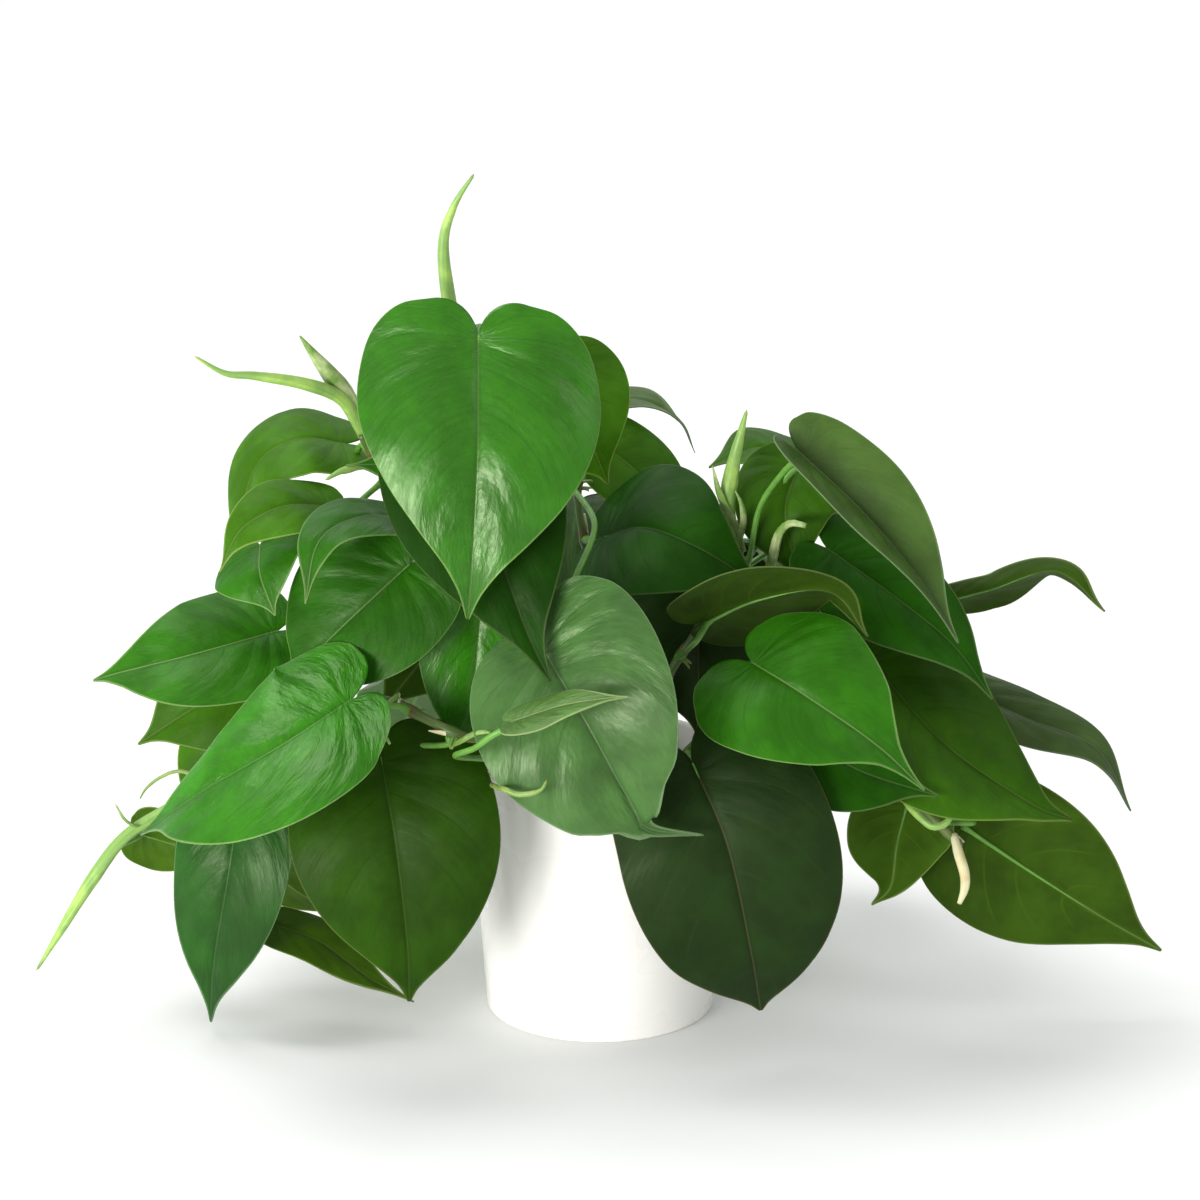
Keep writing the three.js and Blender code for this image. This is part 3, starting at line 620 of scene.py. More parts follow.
# At a husk's foot, middle and tip: how far it stands off its vine, and how far along its length that is.
HUSK_COURSE = ((-0.2, 0), (0.7, 0.5), (1.3, 1))
ROOT_RADII = [0.75, 0.75, 0.7, 0.65, 0.6, 0.5, 0]
ROOT_SIDES = 6


def smooth_step(value, low, high):
    """0 below low, 1 above high, and a smooth rise between them."""
    share = min(max((value - low) / (high - low), 0), 1)
    return share * share * (3 - 2 * share)


def bell(value, width):
    """1 at zero, falling away on both sides over the given width."""
    return math.exp(-((value / width) ** 2))


def along(values, share):
    """A value read from evenly spaced ones, from 0 to 1 along them."""
    place = min(max(share, 0), 0.9999) * (len(values) - 1)
    low = int(place)
    return values[low] + (values[low + 1] - values[low]) * (place - low)


class SmoothCurve:
    """A Catmull-Rom curve through points, read by shares of its length."""

    DIVISIONS = 60
    TENSION = 0.5

    def __init__(self, points):
        self.points = [Vector(point) for point in points]
        steps = [self.raw(step / self.DIVISIONS) for step in range(self.DIVISIONS + 1)]
        self.lengths = [0.0]
        for before, after in zip(steps, steps[1:]):
            self.lengths.append(self.lengths[-1] + (after - before).length)
        self.length = self.lengths[-1]

    def raw(self, share):
        last = len(self.points) - 1
        place = share * last
        index = min(int(place), last - 1)
        weight = place - index
        start = self.points[index]
        end = self.points[index + 1]
        before = self.points[index - 1] if index > 0 else 2 * start - end
        after = self.points[index + 2] if index + 2 <= last else 2 * end - start
        way_in = self.TENSION * (end - before)
        way_out = self.TENSION * (after - start)
        square = weight * weight
        cube = square * weight
        point = start * (2 * cube - 3 * square + 1) + end * (3 * square - 2 * cube)
        return point + way_in * (cube - 2 * square + weight) + way_out * (cube - square)

    def even(self, share):
        """The curve's own parameter at a share of its length."""
        target = min(max(share, 0), 1) * self.length
        index = 0
        while index < self.DIVISIONS - 1 and self.lengths[index + 1] < target:
            index += 1
        span = max(self.lengths[index + 1] - self.lengths[index], 1e-9)
        return (index + (target - self.lengths[index]) / span) / self.DIVISIONS

    def place(self, share):
        return self.raw(self.even(share))

    def tangent(self, share):
        middle = self.even(share)
        return (self.raw(min(middle + 0.002, 1)) - self.raw(max(middle - 0.002, 0))).normalized()

    def places(self, count):
        return [self.place(step / (count - 1)) for step in range(count)]


OUTLINE_CURVE = SmoothCurve(OUTLINE)


def facing_of(azimuth, elevation):
    turn = math.radians(azimuth)
    rise = math.radians(elevation)
    return Vector((math.sin(turn) * math.cos(rise), -math.cos(turn) * math.cos(rise), math.sin(rise)))


def vine_curve(vine):
    x, y = vine["root"]
    upright = [(x, y, SOIL_HEIGHT + height) for height in (-STEM_DEPTH, -STEM_DEPTH / 2, 2)]
    next_x, next_y, _ = vine["points"][0]
    leaning = (x + LEAN * (next_x - x), y + LEAN * (next_y - y), SOIL_HEIGHT + LEAN_HEIGHT)
    return SmoothCurve([*upright, leaning, *vine["points"]])


def vine_radius(share):
    return VINE_BASE_RADIUS + (VINE_END_RADIUS - VINE_BASE_RADIUS) * share


VINE_CURVES = {name: vine_curve(vine) for name, vine in VINES.items()}


class Blade:
    """The form of one leaf blade: its midrib, its two bent halves, and the relief of its veins."""

    SAMPLES = 96

    def __init__(self, name, leaf, sizes):
        self.leaf = {**PLAIN_LEAF, **leaf}
        self.curve = SmoothCurve(leaf["midrib"])
        self.facing = facing_of(*leaf["facing"])
        self.samples = [self.frame_at(step / self.SAMPLES) for step in range(self.SAMPLES + 1)]
        chance = random.Random(name)
        self.phases = [chance.uniform(0, 2 * math.pi) for _ in range(4)]
        self.scale = min(leaf["width"] / FULL_RELIEF_WIDTH, 1)
        self.relief_scale = self.scale * self.leaf["crinkle"]
        self.vein_depth = sizes.vein_depth / MM * self.relief_scale
        self.wave = sizes.margin_wave / MM * self.scale
        self.rumple = sizes.rumple / MM * self.relief_scale
        self.thickness = sizes.blade_thickness / MM
        self.side_veins = sizes.side_veins

    def frame_at(self, share):
        tangent = self.curve.tangent(share)
        outward = (self.facing - tangent * self.facing.dot(tangent)).normalized()
        return self.curve.place(share), tangent, outward.cross(tangent), outward

    def frame(self, share):
        place = min(max(share, 0), 1) * self.SAMPLES
        index = min(int(place), self.SAMPLES - 1)
        weight = place - index
        return [low.lerp(high, weight) for low, high in zip(self.samples[index], self.samples[index + 1])]

    def bellied(self, share):
        """A place on the midrib, moved as the leaf's belly asks."""
        return share + self.leaf["belly"] * share * (1 - share)

    def painted_light_halves(self):
        """The painted light and shade of the two halves, in fold's order."""
        named = self.leaf["painted_light"]
        return [PAINTED_LIGHT_STEPS[name] for name in ([named] * 2 if isinstance(named, str) else named)]

    def relief(self, row_share, out, side, half, vein):
        """The sunken midrib and side veins, the swell between them, and the gentle wave of the margin."""
        midrib = -MIDRIB_DEPTH * self.scale * bell(half, MIDRIB_WIDTH)
        midrib *= 1 - smooth_step(row_share, *MIDRIB_FADES)
        off = abs(vein * self.side_veins - round(vein * self.side_veins))
        shown = smooth_step(out, *VEINS_OUT_START) * (1 - smooth_step(out, *VEINS_OUT_END))
        shown *= smooth_step(row_share, *VEINS_START) * (1 - smooth_step(row_share, *VEINS_END))
        swell = QUILT_HEIGHT * self.relief_scale * (2 * off) ** 2
        veins = (swell - self.vein_depth * bell(off, VEIN_WIDTH)) * shown
        first, second, third, fourth = self.phases
        waves = math.sin(row_share * MARGIN_WAVES + (first if side > 0 else second))
        short = row_share * MARGIN_WAVES * SHORT_WAVE_RATE + (third if side > 0 else fourth)
        waves += SHORT_WAVE_SHARE * math.sin(short)
        margin = self.wave * waves * out ** 3 * math.sin(math.pi * min(0.08 + row_share * 0.92, 1))
        spot = Vector((side * half / RUMPLE_ACROSS, vein * self.curve.length / RUMPLE_ALONG, self.phases[0]))
        rumple = self.rumple * noise.noise(spot) * smooth_step(half, 0, RUMPLE_START)
        return midrib + veins + margin + rumple

    def row(self, row_share):
        """One row of the blade from its right margin to its left one."""
        leaf = self.leaf
        edge = OUTLINE_CURVE.raw(row_share)
        narrowing = 1 - leaf["tail"] * min(max((row_share - TAIL_START) / TAIL_LENGTH, 0), 1)
        bulge = NOTCH_BULGE * max(0, 1 - row_share / NOTCH_ROWS_SHARE)
        lobe = max(0, 1 - row_share / LOBE_ROWS_SHARE)
        half_width = leaf["width"] / 2
        widest = edge.x / WIDEST_SHARE * narrowing * half_width
        slant = math.tan(math.radians(leaf["skew"]))
        cells = []
        for column in range(HALF_BLADE_COLUMNS, -HALF_BLADE_COLUMNS - 1, -1):
            side = -1 if column < 0 else 1
            out = (1 - math.cos(math.pi * abs(column) / HALF_BLADE_COLUMNS)) / 2
            hump = bulge * 4 * out * (1 - out)
            half = max(edge.x * out - hump, 0) / WIDEST_SHARE * narrowing * half_width
            rising = out + lobe * (math.sin(math.pi / 2 * out) - out)
            down = edge.z + (edge.y - edge.z) * rising - hump * BULGE_DROP
            on_midrib = min(max(down, 0), 1)
            place, tangent, across, outward = self.frame(self.bellied(on_midrib))
            fold = math.radians(leaf["fold"][0 if side > 0 else 1])
            turn = math.radians(leaf["bend"][0 if side > 0 else 1]) / half_width
            reach = (math.sin(fold + turn * half) - math.sin(fold)) / turn
            rise = (math.cos(fold) - math.cos(fold + turn * half)) / turn
            vein = row_share + VEIN_BOW * 4 * out * (1 - out)
            rise += self.relief(row_share, out, side, half, vein) + self.thickness / 2
            point = place + across * (side * reach) + outward * rise
            point += tangent * (slant * side * reach + min(down, 0) * self.curve.length)
            cells.append((point * MM, 0.5 + side * out / 2, vein, max(widest - half, 0), half))
        return cells


def add_blade(bm, blade, materials):
    """The blade as a thin closed sheet, with its skin above and its underside below."""
    upper, under = materials
    uv = bm.loops.layers.uv.verify()
    margin = bm.verts.layers.float.new("margin_mm")
    midrib = bm.verts.layers.float.new("midrib_mm")
    painted_light = bm.verts.layers.float.new("painted_light")
    columns = 2 * HALF_BLADE_COLUMNS
    made = bmesh.ops.create_grid(bm, x_segments=columns, y_segments=BLADE_ROWS, size=1, calc_uvs=True)
    cells = [cell for row in range(BLADE_ROWS + 1) for cell in blade.row(row / BLADE_ROWS)]
    # Painted light and shade, one step for each half, blended across the blade.
    first_half_light, second_half_light = blade.painted_light_halves()
    spots = {}
    for vertex, (point, across, vein, to_margin, to_midrib) in zip(made["verts"], cells):
        vertex.co = point
        vertex[margin] = to_margin
        vertex[midrib] = to_midrib
        vertex[painted_light] = second_half_light + (first_half_light - second_half_light) * across
        spots[vertex] = (across, vein)
    for face in bm.faces:
        for loop in face.loops:
            loop[uv].uv = spots[loop.vert]
    bm.normal_update()
    front = set(made["verts"])
    bmesh.ops.solidify(bm, geom=bm.faces[:], thickness=blade.thickness * MM)
    for face in bm.faces:
        shared = sum(vertex in front for vertex in face.verts)
        face.material_index = under if shared == 0 else upper


def twist_free_frames(places):
    """Two ways across each place of a path, carried along it without a twist."""
    last = len(places) - 1
    ways = [(places[min(i + 1, last)] - places[max(i - 1, 0)]).normalized() for i in range(last + 1)]
    across = ways[0].orthogonal().normalized()
    frames = []
    for way in ways:
        across = (across - way * across.dot(way)).normalized()
        frames.append((across, way.cross(across)))
    return frames


def faces_at(verts):
    """The faces at these vertices, each once and in the same order on each run."""
    return list(dict.fromkeys(face for vertex in verts for face in vertex.link_faces))


def add_stem(bm, places, radii, sides, material=0, wrap=0.0, scars=None):
    """A closed stem through places: a grid rolled up, its seam merged and its open ends filled.
    wrap makes it a rolled leaf, whose free edge stands proud of the roll by that share of the radius."""
    uv = bm.loops.layers.uv.verify()
    scar = bm.verts.layers.float.get("scar") or bm.verts.layers.float.new("scar")
    rings = len(places)
    made = bmesh.ops.create_grid(bm, x_segments=sides, y_segments=rings - 1, size=1, calc_uvs=True)["verts"]
    frames = twist_free_frames(places)
    lengths = [0.0]
    for before, after in zip(places, places[1:]):
        lengths.append(lengths[-1] + (after - before).length)
    spots = {}
    for index, vertex in enumerate(made):
        ring, side = divmod(index, sides + 1)
        turn = side / sides
        if wrap and side == sides - 1:
            turn = (sides - ROLL_LAP) / sides
        angle = 2 * math.pi * turn + ROLL_TURN * ring / rings * (1 if wrap else 0)
        across, along_side = frames[ring]
        offset = across * math.cos(angle) + along_side * math.sin(angle)
        proud = 1 + wrap * turn if side < sides else 1
        vertex.co = (places[ring] + offset * (radii[ring] * proud)) * MM
        vertex[scar] = scars[ring] if scars else 0
        spots[vertex] = (turn, lengths[ring] / STEM_MAP_LENGTH)
    faces = faces_at(made)
    for face in faces:
        face.material_index = material
        for loop in face.loops:
            loop[uv].uv = spots[loop.vert]
    bmesh.ops.remove_doubles(bm, verts=made, dist=2e-7)
    kept = [face for face in faces if face.is_valid]
    rims = list(dict.fromkeys(edge for face in kept for edge in face.edges if edge.is_boundary))
    caps = bmesh.ops.holes_fill(bm, edges=rims, sides=0)["faces"] if rims else []
    for face in caps:
        face.material_index = material
    bmesh.ops.recalc_face_normals(bm, faces=kept + caps)


def add_sheath(bm, points, facing, widths, cup, material):
    """A boat-shaped sheath: a strip through points, bent round its length by the angle cup on either side."""
    uv = bm.loops.layers.uv.verify()
    columns = SHEATH_COLUMNS
    places = SmoothCurve(points).places(SHEATH_ROWS)
    last = len(places) - 1
    made = bmesh.ops.create_grid(bm, x_segments=columns, y_segments=last, size=1, calc_uvs=True)["verts"]
    spots = {}
    for index, vertex in enumerate(made):
        row, column = divmod(index, columns + 1)
        way = (places[min(row + 1, last)] - places[max(row - 1, 0)]).normalized()
        outward = (facing - way * facing.dot(way)).normalized()
        across = outward.cross(way)
        angle = cup * (1 - 2 * column / columns)
        radius = along(widths, row / last) / 2 / math.sin(min(cup, math.pi / 2))
        offset = across * (radius * math.sin(angle)) + outward * (radius * (math.cos(angle) - 1))
        vertex.co = (places[row] + offset) * MM
        spots[vertex] = (column / columns, row / last)
    faces = faces_at(made)
    for face in faces:
        face.material_index = material
        face.normal_update()
        for loop in face.loops:
            loop[uv].uv = spots[loop.vert]
    for vertex in made:
        vertex.normal_update()
    shell = bmesh.ops.solidify(bm, geom=faces, thickness=SHEATH_THICKNESS * MM)["geom"]
    for face in shell:
        if isinstance(face, bmesh.types.BMFace):
            face.material_index = material


def finish_piece(name, bm, materials, replaced=()):
    """The finished piece: it rides on the plant's one body, with its place in its mesh."""
    mesh = bpy.data.meshes.new(name)
    for face in bm.faces:
        face.smooth = True
    bm.to_mesh(mesh)
    bm.free()
    for material in materials:
        mesh.materials.append(material)
    piece = bpy.data.objects.new(name, mesh)
    bpy.context.scene.collection.objects.link(piece)
    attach(piece, BODY)
    if replaced:
        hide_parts(*replaced)
    return piece


def linear(hex_colour):
    """An sRGB hex colour as linear red, green, blue and a full alpha."""
    channels = [int(hex_colour[start:start + 2], 16) / 255 for start in (1, 3, 5)]
    straight = [c / 12.92 if c <= 0.04045 else ((c + 0.055) / 1.055) ** 2.4 for c in channels]
    return (*straight, 1.0)


def opaque(colour):
    return (*colour[:3], 1.0)


def scaled(colour, factor):
    """A colour made darker or lighter."""
    return opaque([min(channel * factor, 1) for channel in colour])


def blended(first, second, share):
    return opaque([a + (b - a) * share for a, b in zip(first, second)])


def add_node(material, kind, inputs=(), **settings):
    """Adds a node with its settings; an input is given a value, or a link where the value is a socket."""
    node = material.node_tree.nodes.new(kind)
    for name, value in settings.items():
        setattr(node, name, value)
    for name, value in dict(inputs).items():
        if isinstance(value, bpy.types.NodeSocket):
            material.node_tree.links.new(value, node.inputs[name])
        else:
            node.inputs[name].default_value = value
    return node


def new_material(name):
    material = bpy.data.materials.new(name)
    material.use_nodes = True
    material.node_tree.nodes.clear()
    return material


def finish_material(material, inputs):
    """The surface shader and its output."""
    shader = add_node(material, "ShaderNodeBsdfPrincipled", inputs)
    add_node(material, "ShaderNodeOutputMaterial", {"Surface": shader.outputs[0]})
    return material


# What a range node reads: a value, the two limits that it lies between, and what it gives at each of them.
RANGE = ("Value", "From Min", "From Max", "To Min", "To Max")


def tinted(material, colour, other, value, limits, shares=(0.0, 1.0)):
    """A colour with another one mixed in, whose share goes smoothly from the first share to the second while
    a value rises from the lower limit to the upper one."""
    inputs = dict(zip(RANGE, (value, *limits, *shares)))
    share = add_node(material, "ShaderNodeMapRange", inputs, interpolation_type="SMOOTHSTEP").outputs[0]
    return add_node(material, "ShaderNodeMix", {0: share, 6: colour, 7: other}, data_type="RGBA").outputs[2]


def faded(material, amount, value, limits, shares=(0.0, 1.0)):
    """An amount times a share, which follows a value as the other colour's share does in tinted."""
    inputs = dict(zip(RANGE, (value, *limits, *shares)))
    share = add_node(material, "ShaderNodeMapRange", inputs, interpolation_type="SMOOTHSTEP").outputs[0]
    return add_node(material, "ShaderNodeMath", {0: amount, 1: share}, operation="MULTIPLY").outputs[0]


def spots(material, size_mm, detail, roughness):
    """An uneven pattern that is fixed to the piece, with spots of this size in millimetres."""
    place = add_node(material, "ShaderNodeTexCoord").outputs["Object"]
    inputs = {"Vector": place, "Scale": 1000.0 / size_mm, "Detail": detail, "Roughness": roughness}
    return add_node(material, "ShaderNodeTexNoise", inputs).outputs[0]


def streaks(material, counts, detail, roughness):
    """A drawn-out pattern on the piece's own UV map, with so many streaks across it and along it."""
    place = add_node(material, "ShaderNodeTexCoord").outputs["UV"]
    spread = add_node(material, "ShaderNodeMapping", {"Vector": place, "Scale": (*counts, 1.0)}).outputs[0]
    inputs = {"Vector": spread, "Scale": 1.0, "Detail": detail, "Roughness": roughness}
    return add_node(material, "ShaderNodeTexNoise", inputs).outputs[0]


# The size of the spots in each pattern, in millimetres.
LEAF_PATCHES = 20
STEM_PATCHES = 12
STALK_PATCHES = 9
HUSK_PATCHES = 7.14
GLAZE_CLOUDS = 45
GLAZE_SPECKS = 1.11
PEAT_CRUMBS = 2.38
PEAT_FIBRES = 0.667
BARK_GRAIN = 3.33
PERLITE_GRAIN = 2
PAPER_CLOUDS = 333

# How many streaks lie across and along a blade or sheath, or round a stem and along each 100 mm of it.
FINE_VEINS = (7.0, 70.0)
LEAF_FOLDS = (8.0, 20.0)
STEM_LINES = (14.0, 3.0)
HUSK_STREAKS = (16.0, 2.0)

# The skins of the leaves: how rough and how shiny each is, and how much the shine breaks into streaks; how
# dark its side veins and how pale its midrib are; how far its underside is paler, how much light glows
# through it, and the colour of its margin, which is partly a painted highlight.
LOOKS = {
    "glossy": {
        "roughness": 0.3, "shine": 0.5, "streak": 0.4, "vein": 0.8,
        "line": 0.12, "under": 0.35, "glow": 0.04, "margin": "#9fbf6c",
    },
    "streaked": {
        "roughness": 0.34, "shine": 0.4, "streak": 0.7, "vein": 0.8,
        "line": 0.12, "under": 0.35, "glow": 0.04, "margin": "#a5c47c",
    },
    "vivid": {
        "roughness": 0.38, "shine": 0.2, "streak": 0.3, "vein": 0.85,
        "line": 0.3, "under": 0.3, "glow": 0.06, "margin": "#a6c478",
    },
    "greyish": {
        "roughness": 0.36, "shine": 0.45, "streak": 0.5, "vein": 0.85,
        "line": 0.25, "under": 0.3, "glow": 0.03, "margin": "#a9c495",
    },
    "dusty": {
        "roughness": 0.45, "shine": 0.4, "streak": 0.2, "vein": 0.85,
        "line": 0.3, "under": 0.25, "glow": 0.0, "margin": "#8fa57c",
    },
    "bluish": {
        "roughness": 0.4, "shine": 0.3, "streak": 0.4, "vein": 0.8,
        "line": 0.12, "under": 0.3, "glow": 0.0, "margin": "#7fa071",
    },
    "olive": {
        "roughness": 0.46, "shine": 0.12, "streak": 0.2, "vein": 0.85,
        "line": 0.15, "under": 0.3, "glow": 0.03, "margin": "#8a9a50",
    },
    # Painted shade: a darker green for the inner leaves in the shade of the others.
    "shaded": {
        "roughness": 0.45, "shine": 0.1, "streak": 0.2, "vein": 0.85,
        "line": 0.2, "under": 0.25, "glow": 0.0, "margin": "#80975c",
    },
    # Painted shade: the darkest green, for the leaves in the deepest shade.
    "darkest": {
        "roughness": 0.5, "shine": 0.2, "streak": 0.2, "vein": 1.2,
        "line": 0.25, "under": 0.2, "glow": 0.0, "margin": "#7d6a4a",
    },
    # Partly painted light: the olive of an underside, as it looks with light shining through it from behind.
    "backlit": {
        "roughness": 0.5, "shine": 0.15, "streak": 0.1, "vein": 1.15,
        "line": 0.15, "under": 0.0, "glow": 0.04, "margin": "#8c9c5c",
    },
    "young": {
        "roughness": 0.38, "shine": 0.5, "streak": 0.3, "vein": 0.9,
        "line": 0.4, "under": 0.2, "glow": 0.1, "margin": "#c3d892",
    },
}
PALE_UNDERSIDE = "#8fae78"
GREEN_SHINE = (0.86, 1.0, 0.66, 1.0)


def waxy_leaf_skin(look, colours, sizes, underside=False):
    """Waxy leaf skin, grown: patches of lighter and darker green, a thin pale margin that is partly painted
    highlight, side veins half a millimetre wide and finer ones between them that break up the shine, painted
    shade in the groove of the midrib, and painted light and shade for the leaf's place in the plant. The
    underside is paler and duller."""
    material = new_material(("leaf_underside_" if underside else "waxy_leaf_") + look)
    facts = LOOKS[look]
    base = opaque(getattr(colours, look))
    if underside:
        base = blended(base, linear(PALE_UNDERSIDE), facts["under"])
    place = add_node(material, "ShaderNodeTexCoord").outputs["UV"]
    ways = add_node(material, "ShaderNodeSeparateXYZ", {0: place})
    margin = add_node(material, "ShaderNodeAttribute", attribute_name="margin_mm").outputs["Fac"]
    midrib = add_node(material, "ShaderNodeAttribute", attribute_name="midrib_mm").outputs["Fac"]
    # The painted light and shade stored on the blade, read here.
    painted_light = add_node(material, "ShaderNodeAttribute", attribute_name="painted_light").outputs["Fac"]
    patches = spots(material, LEAF_PATCHES, 3.0, 0.6)
    colour = tinted(material, scaled(base, 0.78), scaled(base, 1.2), patches, (0.32, 0.68))
    # Fine veins that run with the side veins, about a millimetre apart.
    fine = streaks(material, FINE_VEINS, 3.0, 0.6)
    colour = tinted(material, colour, scaled(base, 1.45), fine, (0.4, 0.8), (0.0, 0.22))
    # The side veins, which fade out towards the margin and in the groove of the midrib.
    inputs = {0: ways.outputs[1], 1: float(sizes.side_veins)}
    steps = add_node(material, "ShaderNodeMath", inputs, operation="MULTIPLY").outputs[0]
    off = add_node(material, "ShaderNodeMath", {0: steps, 1: 0.5}, operation="PINGPONG").outputs[0]
    veins = faded(material, 1.0, off, (0.01, 0.05), (1.0, 0.0))
    veins = faded(material, veins, margin, (2.0, 9.0))
    veins = faded(material, veins, midrib, (0.5, 2.0), (0.0, 0.65))
    vein_colour = scaled(base, 1.4 if underside else facts["vein"])
    inputs = {0: veins, 6: colour, 7: vein_colour}
    colour = add_node(material, "ShaderNodeMix", inputs, data_type="RGBA").outputs[2]
    # The midrib: a thin pale line within a groove. On the upper face the groove is darkened as painted shade;
    # on the underside the rib is lighter.
    groove_colour = scaled(base, 1.35 if underside else 0.72)
    colour = tinted(material, colour, groove_colour, midrib, (0.5, 1.8), (0.55, 0.0))
    edge_colour = linear(facts["margin"])
    line = facts["line"] * (2 if underside else 1)
    colour = tinted(material, colour, edge_colour, midrib, (0.1, 0.45), (line, 0.0))
    # The margin: a pale edge 0.4 mm wide, partly the edge's own colour and partly a painted highlight where
    # the edge catches the light.
    colour = tinted(material, colour, edge_colour, margin, (0.15, 0.45), (0.38, 0.0))
    # Painted light and shade: how light the leaf is drawn for its place in the plant.
    colour = add_node(material, "ShaderNodeVectorMath", {0: colour, 3: painted_light}, operation="SCALE").outputs[0]
    rough = facts["roughness"] + (0.15 if underside else 0.0)
    inputs = dict(zip(RANGE, (fine, 0.3, 0.7, rough - 0.05, rough + 0.08)))
    roughness = add_node(material, "ShaderNodeMapRange", inputs, interpolation_type="SMOOTHSTEP").outputs[0]
    # The fine veins stand up and the side veins are sunk.
    inputs = {0: veins, 1: -0.6, 2: fine}
    relief = add_node(material, "ShaderNodeMath", inputs, operation="MULTIPLY_ADD").outputs[0]
    bump = {"Strength": 0.3, "Distance": 0.0002, "Height": relief}
    normal = add_node(material, "ShaderNodeBump", bump).outputs[0]
    # Low folds about 10 mm long and 4 mm apart, which break the shine into streaks.
    folds = streaks(material, LEAF_FOLDS, 3.0, 0.5)
    bump = {"Strength": facts["streak"], "Distance": 0.0014, "Height": folds, "Normal": normal}
    normal = add_node(material, "ShaderNodeBump", bump).outputs[0]
    shader = {"Base Color": colour, "Roughness": roughness, "Normal": normal, "IOR": 1.45}
    shader["Specular IOR Level"] = facts["shine"]
    shader["Specular Tint"] = GREEN_SHINE
    if facts["glow"]:
        shader["Subsurface Weight"] = facts["glow"]
        shader["Subsurface Radius"] = (0.5, 1.0, 0.2)
        shader["Subsurface Scale"] = 0.002
    return finish_material(material, shader)


def fleshy_stem(name, colour, tint, patch_mm=STEM_PATCHES):
    """Fleshy green stem, grown: fine darker lines along it, patches of a second green, and brown rings where
    a piece is scarred."""
    material = new_material(name)
    base = opaque(colour)
    patches = spots(material, patch_mm, 3.0, 0.6)
    skin = tinted(material, scaled(base, 1.1), opaque(tint), patches, (0.4, 0.7))
    lines = streaks(material, STEM_LINES, 2.0, 0.5)
    skin = tinted(material, skin, scaled(base, 0.68), lines, (0.35, 0.7), (0.0, 0.45))
    scar = add_node(material, "ShaderNodeAttribute", attribute_name="scar").outputs["Fac"]
    skin = tinted(material, skin, linear("#6d5233"), scar, (0.3, 0.95), (0.0, 0.75))
    bump = add_node(material, "ShaderNodeBump", {"Strength": 0.4, "Distance": 0.0003, "Height": lines})
    inputs = dict(zip(RANGE, (patches, 0.3, 0.7, 0.36, 0.5)))
    roughness = add_node(material, "ShaderNodeMapRange", inputs, interpolation_type="SMOOTHSTEP").outputs[0]
    shader = {"Base Color": skin, "Roughness": roughness, "Normal": bump.outputs[0], "IOR": 1.45}
    return finish_material(material, shader)


def papery_sheath(colours):
    """Dry papery sheath: thin, cream to light brown, with streaks along it and a dull surface."""
    material = new_material("papery_sheath")
    patches = spots(material, HUSK_PATCHES, 2.0, 0.5)
    colour = tinted(material, opaque(colours.husk), linear("#cbbb86"), patches, (0.45, 0.75))
    lines = streaks(material, HUSK_STREAKS, 3.0, 0.6)
    colour = tinted(material, colour, linear("#9c8654"), lines, (0.5, 0.75), (0.0, 0.45))
    bump = add_node(material, "ShaderNodeBump", {"Strength": 0.5, "Distance": 0.0003, "Height": lines})
    shader = {"Base Color": colour, "Roughness": 0.6, "Normal": bump.outputs[0]}
    return finish_material(material, shader)


def glazed_white_ceramic(colours):
    """Glazed ceramic, thrown and fired: a white glaze with a soft reflection, faint clouds and few specks."""
    material = new_material("glazed_white_ceramic")
    base = opaque(colours.pot)
    clouds = spots(material, GLAZE_CLOUDS, 3.0, 0.5)
    colour = tinted(material, base, scaled(base, 0.95), clouds, (0.35, 0.65))
    specks = spots(material, GLAZE_SPECKS, 1.0, 0.5)
    colour = tinted(material, colour, linear("#b9b2a6"), specks, (0.72, 0.8), (0.0, 0.25))
    inputs = dict(zip(RANGE, (clouds, 0.3, 0.7, 0.2, 0.3)))
    roughness = add_node(material, "ShaderNodeMapRange", inputs, interpolation_type="SMOOTHSTEP").outputs[0]
    bump = add_node(material, "ShaderNodeBump", {"Strength": 0.12, "Distance": 0.0006, "Height": clouds})
    shader = {"Base Color": colour, "Roughness": roughness, "Normal": bump.outputs[0], "IOR": 1.5}
    shader["Coat Weight"] = 0.4
    shader["Coat Roughness"] = 0.12
    return finish_material(material, shader)


def damp_potting_soil(colours):
    """Damp peat soil: dark brown crumbs, lighter fibres between them, and a dull surface."""
    material = new_material("damp_potting_soil")
    base = opaque(colours.soil)
    crumbs = spots(material, PEAT_CRUMBS, 4.0, 0.7)
    colour = tinted(material, scaled(base, 0.55), scaled(base, 1.7), crumbs, (0.35, 0.7))
    fibres = spots(material, PEAT_FIBRES, 2.0, 0.6)
    colour = tinted(material, colour, linear("#8a6a48"), fibres, (0.6, 0.75), (0.0, 0.6))
    bump = add_node(material, "ShaderNodeBump", {"Strength": 0.8, "Distance": 0.001, "Height": crumbs})
    shader = {"Base Color": colour, "Roughness": 0.9, "Normal": bump.outputs[0]}
    return finish_material(material, shader)


def loose_chips(name, colour, grain_mm):
    """Small loose chips: one main colour with darker and lighter grain, and a dull surface."""
    material = new_material(name)
    grain = spots(material, grain_mm, 3.0, 0.6)
    mixture = tinted(material, scaled(colour, 0.7), scaled(colour, 1.1), grain, (0.3, 0.7))
    bump = add_node(material, "ShaderNodeBump", {"Strength": 0.5, "Distance": 0.0005, "Height": grain})
    shader = {"Base Color": mixture, "Roughness": 0.85, "Normal": bump.outputs[0]}
    return finish_material(material, shader)


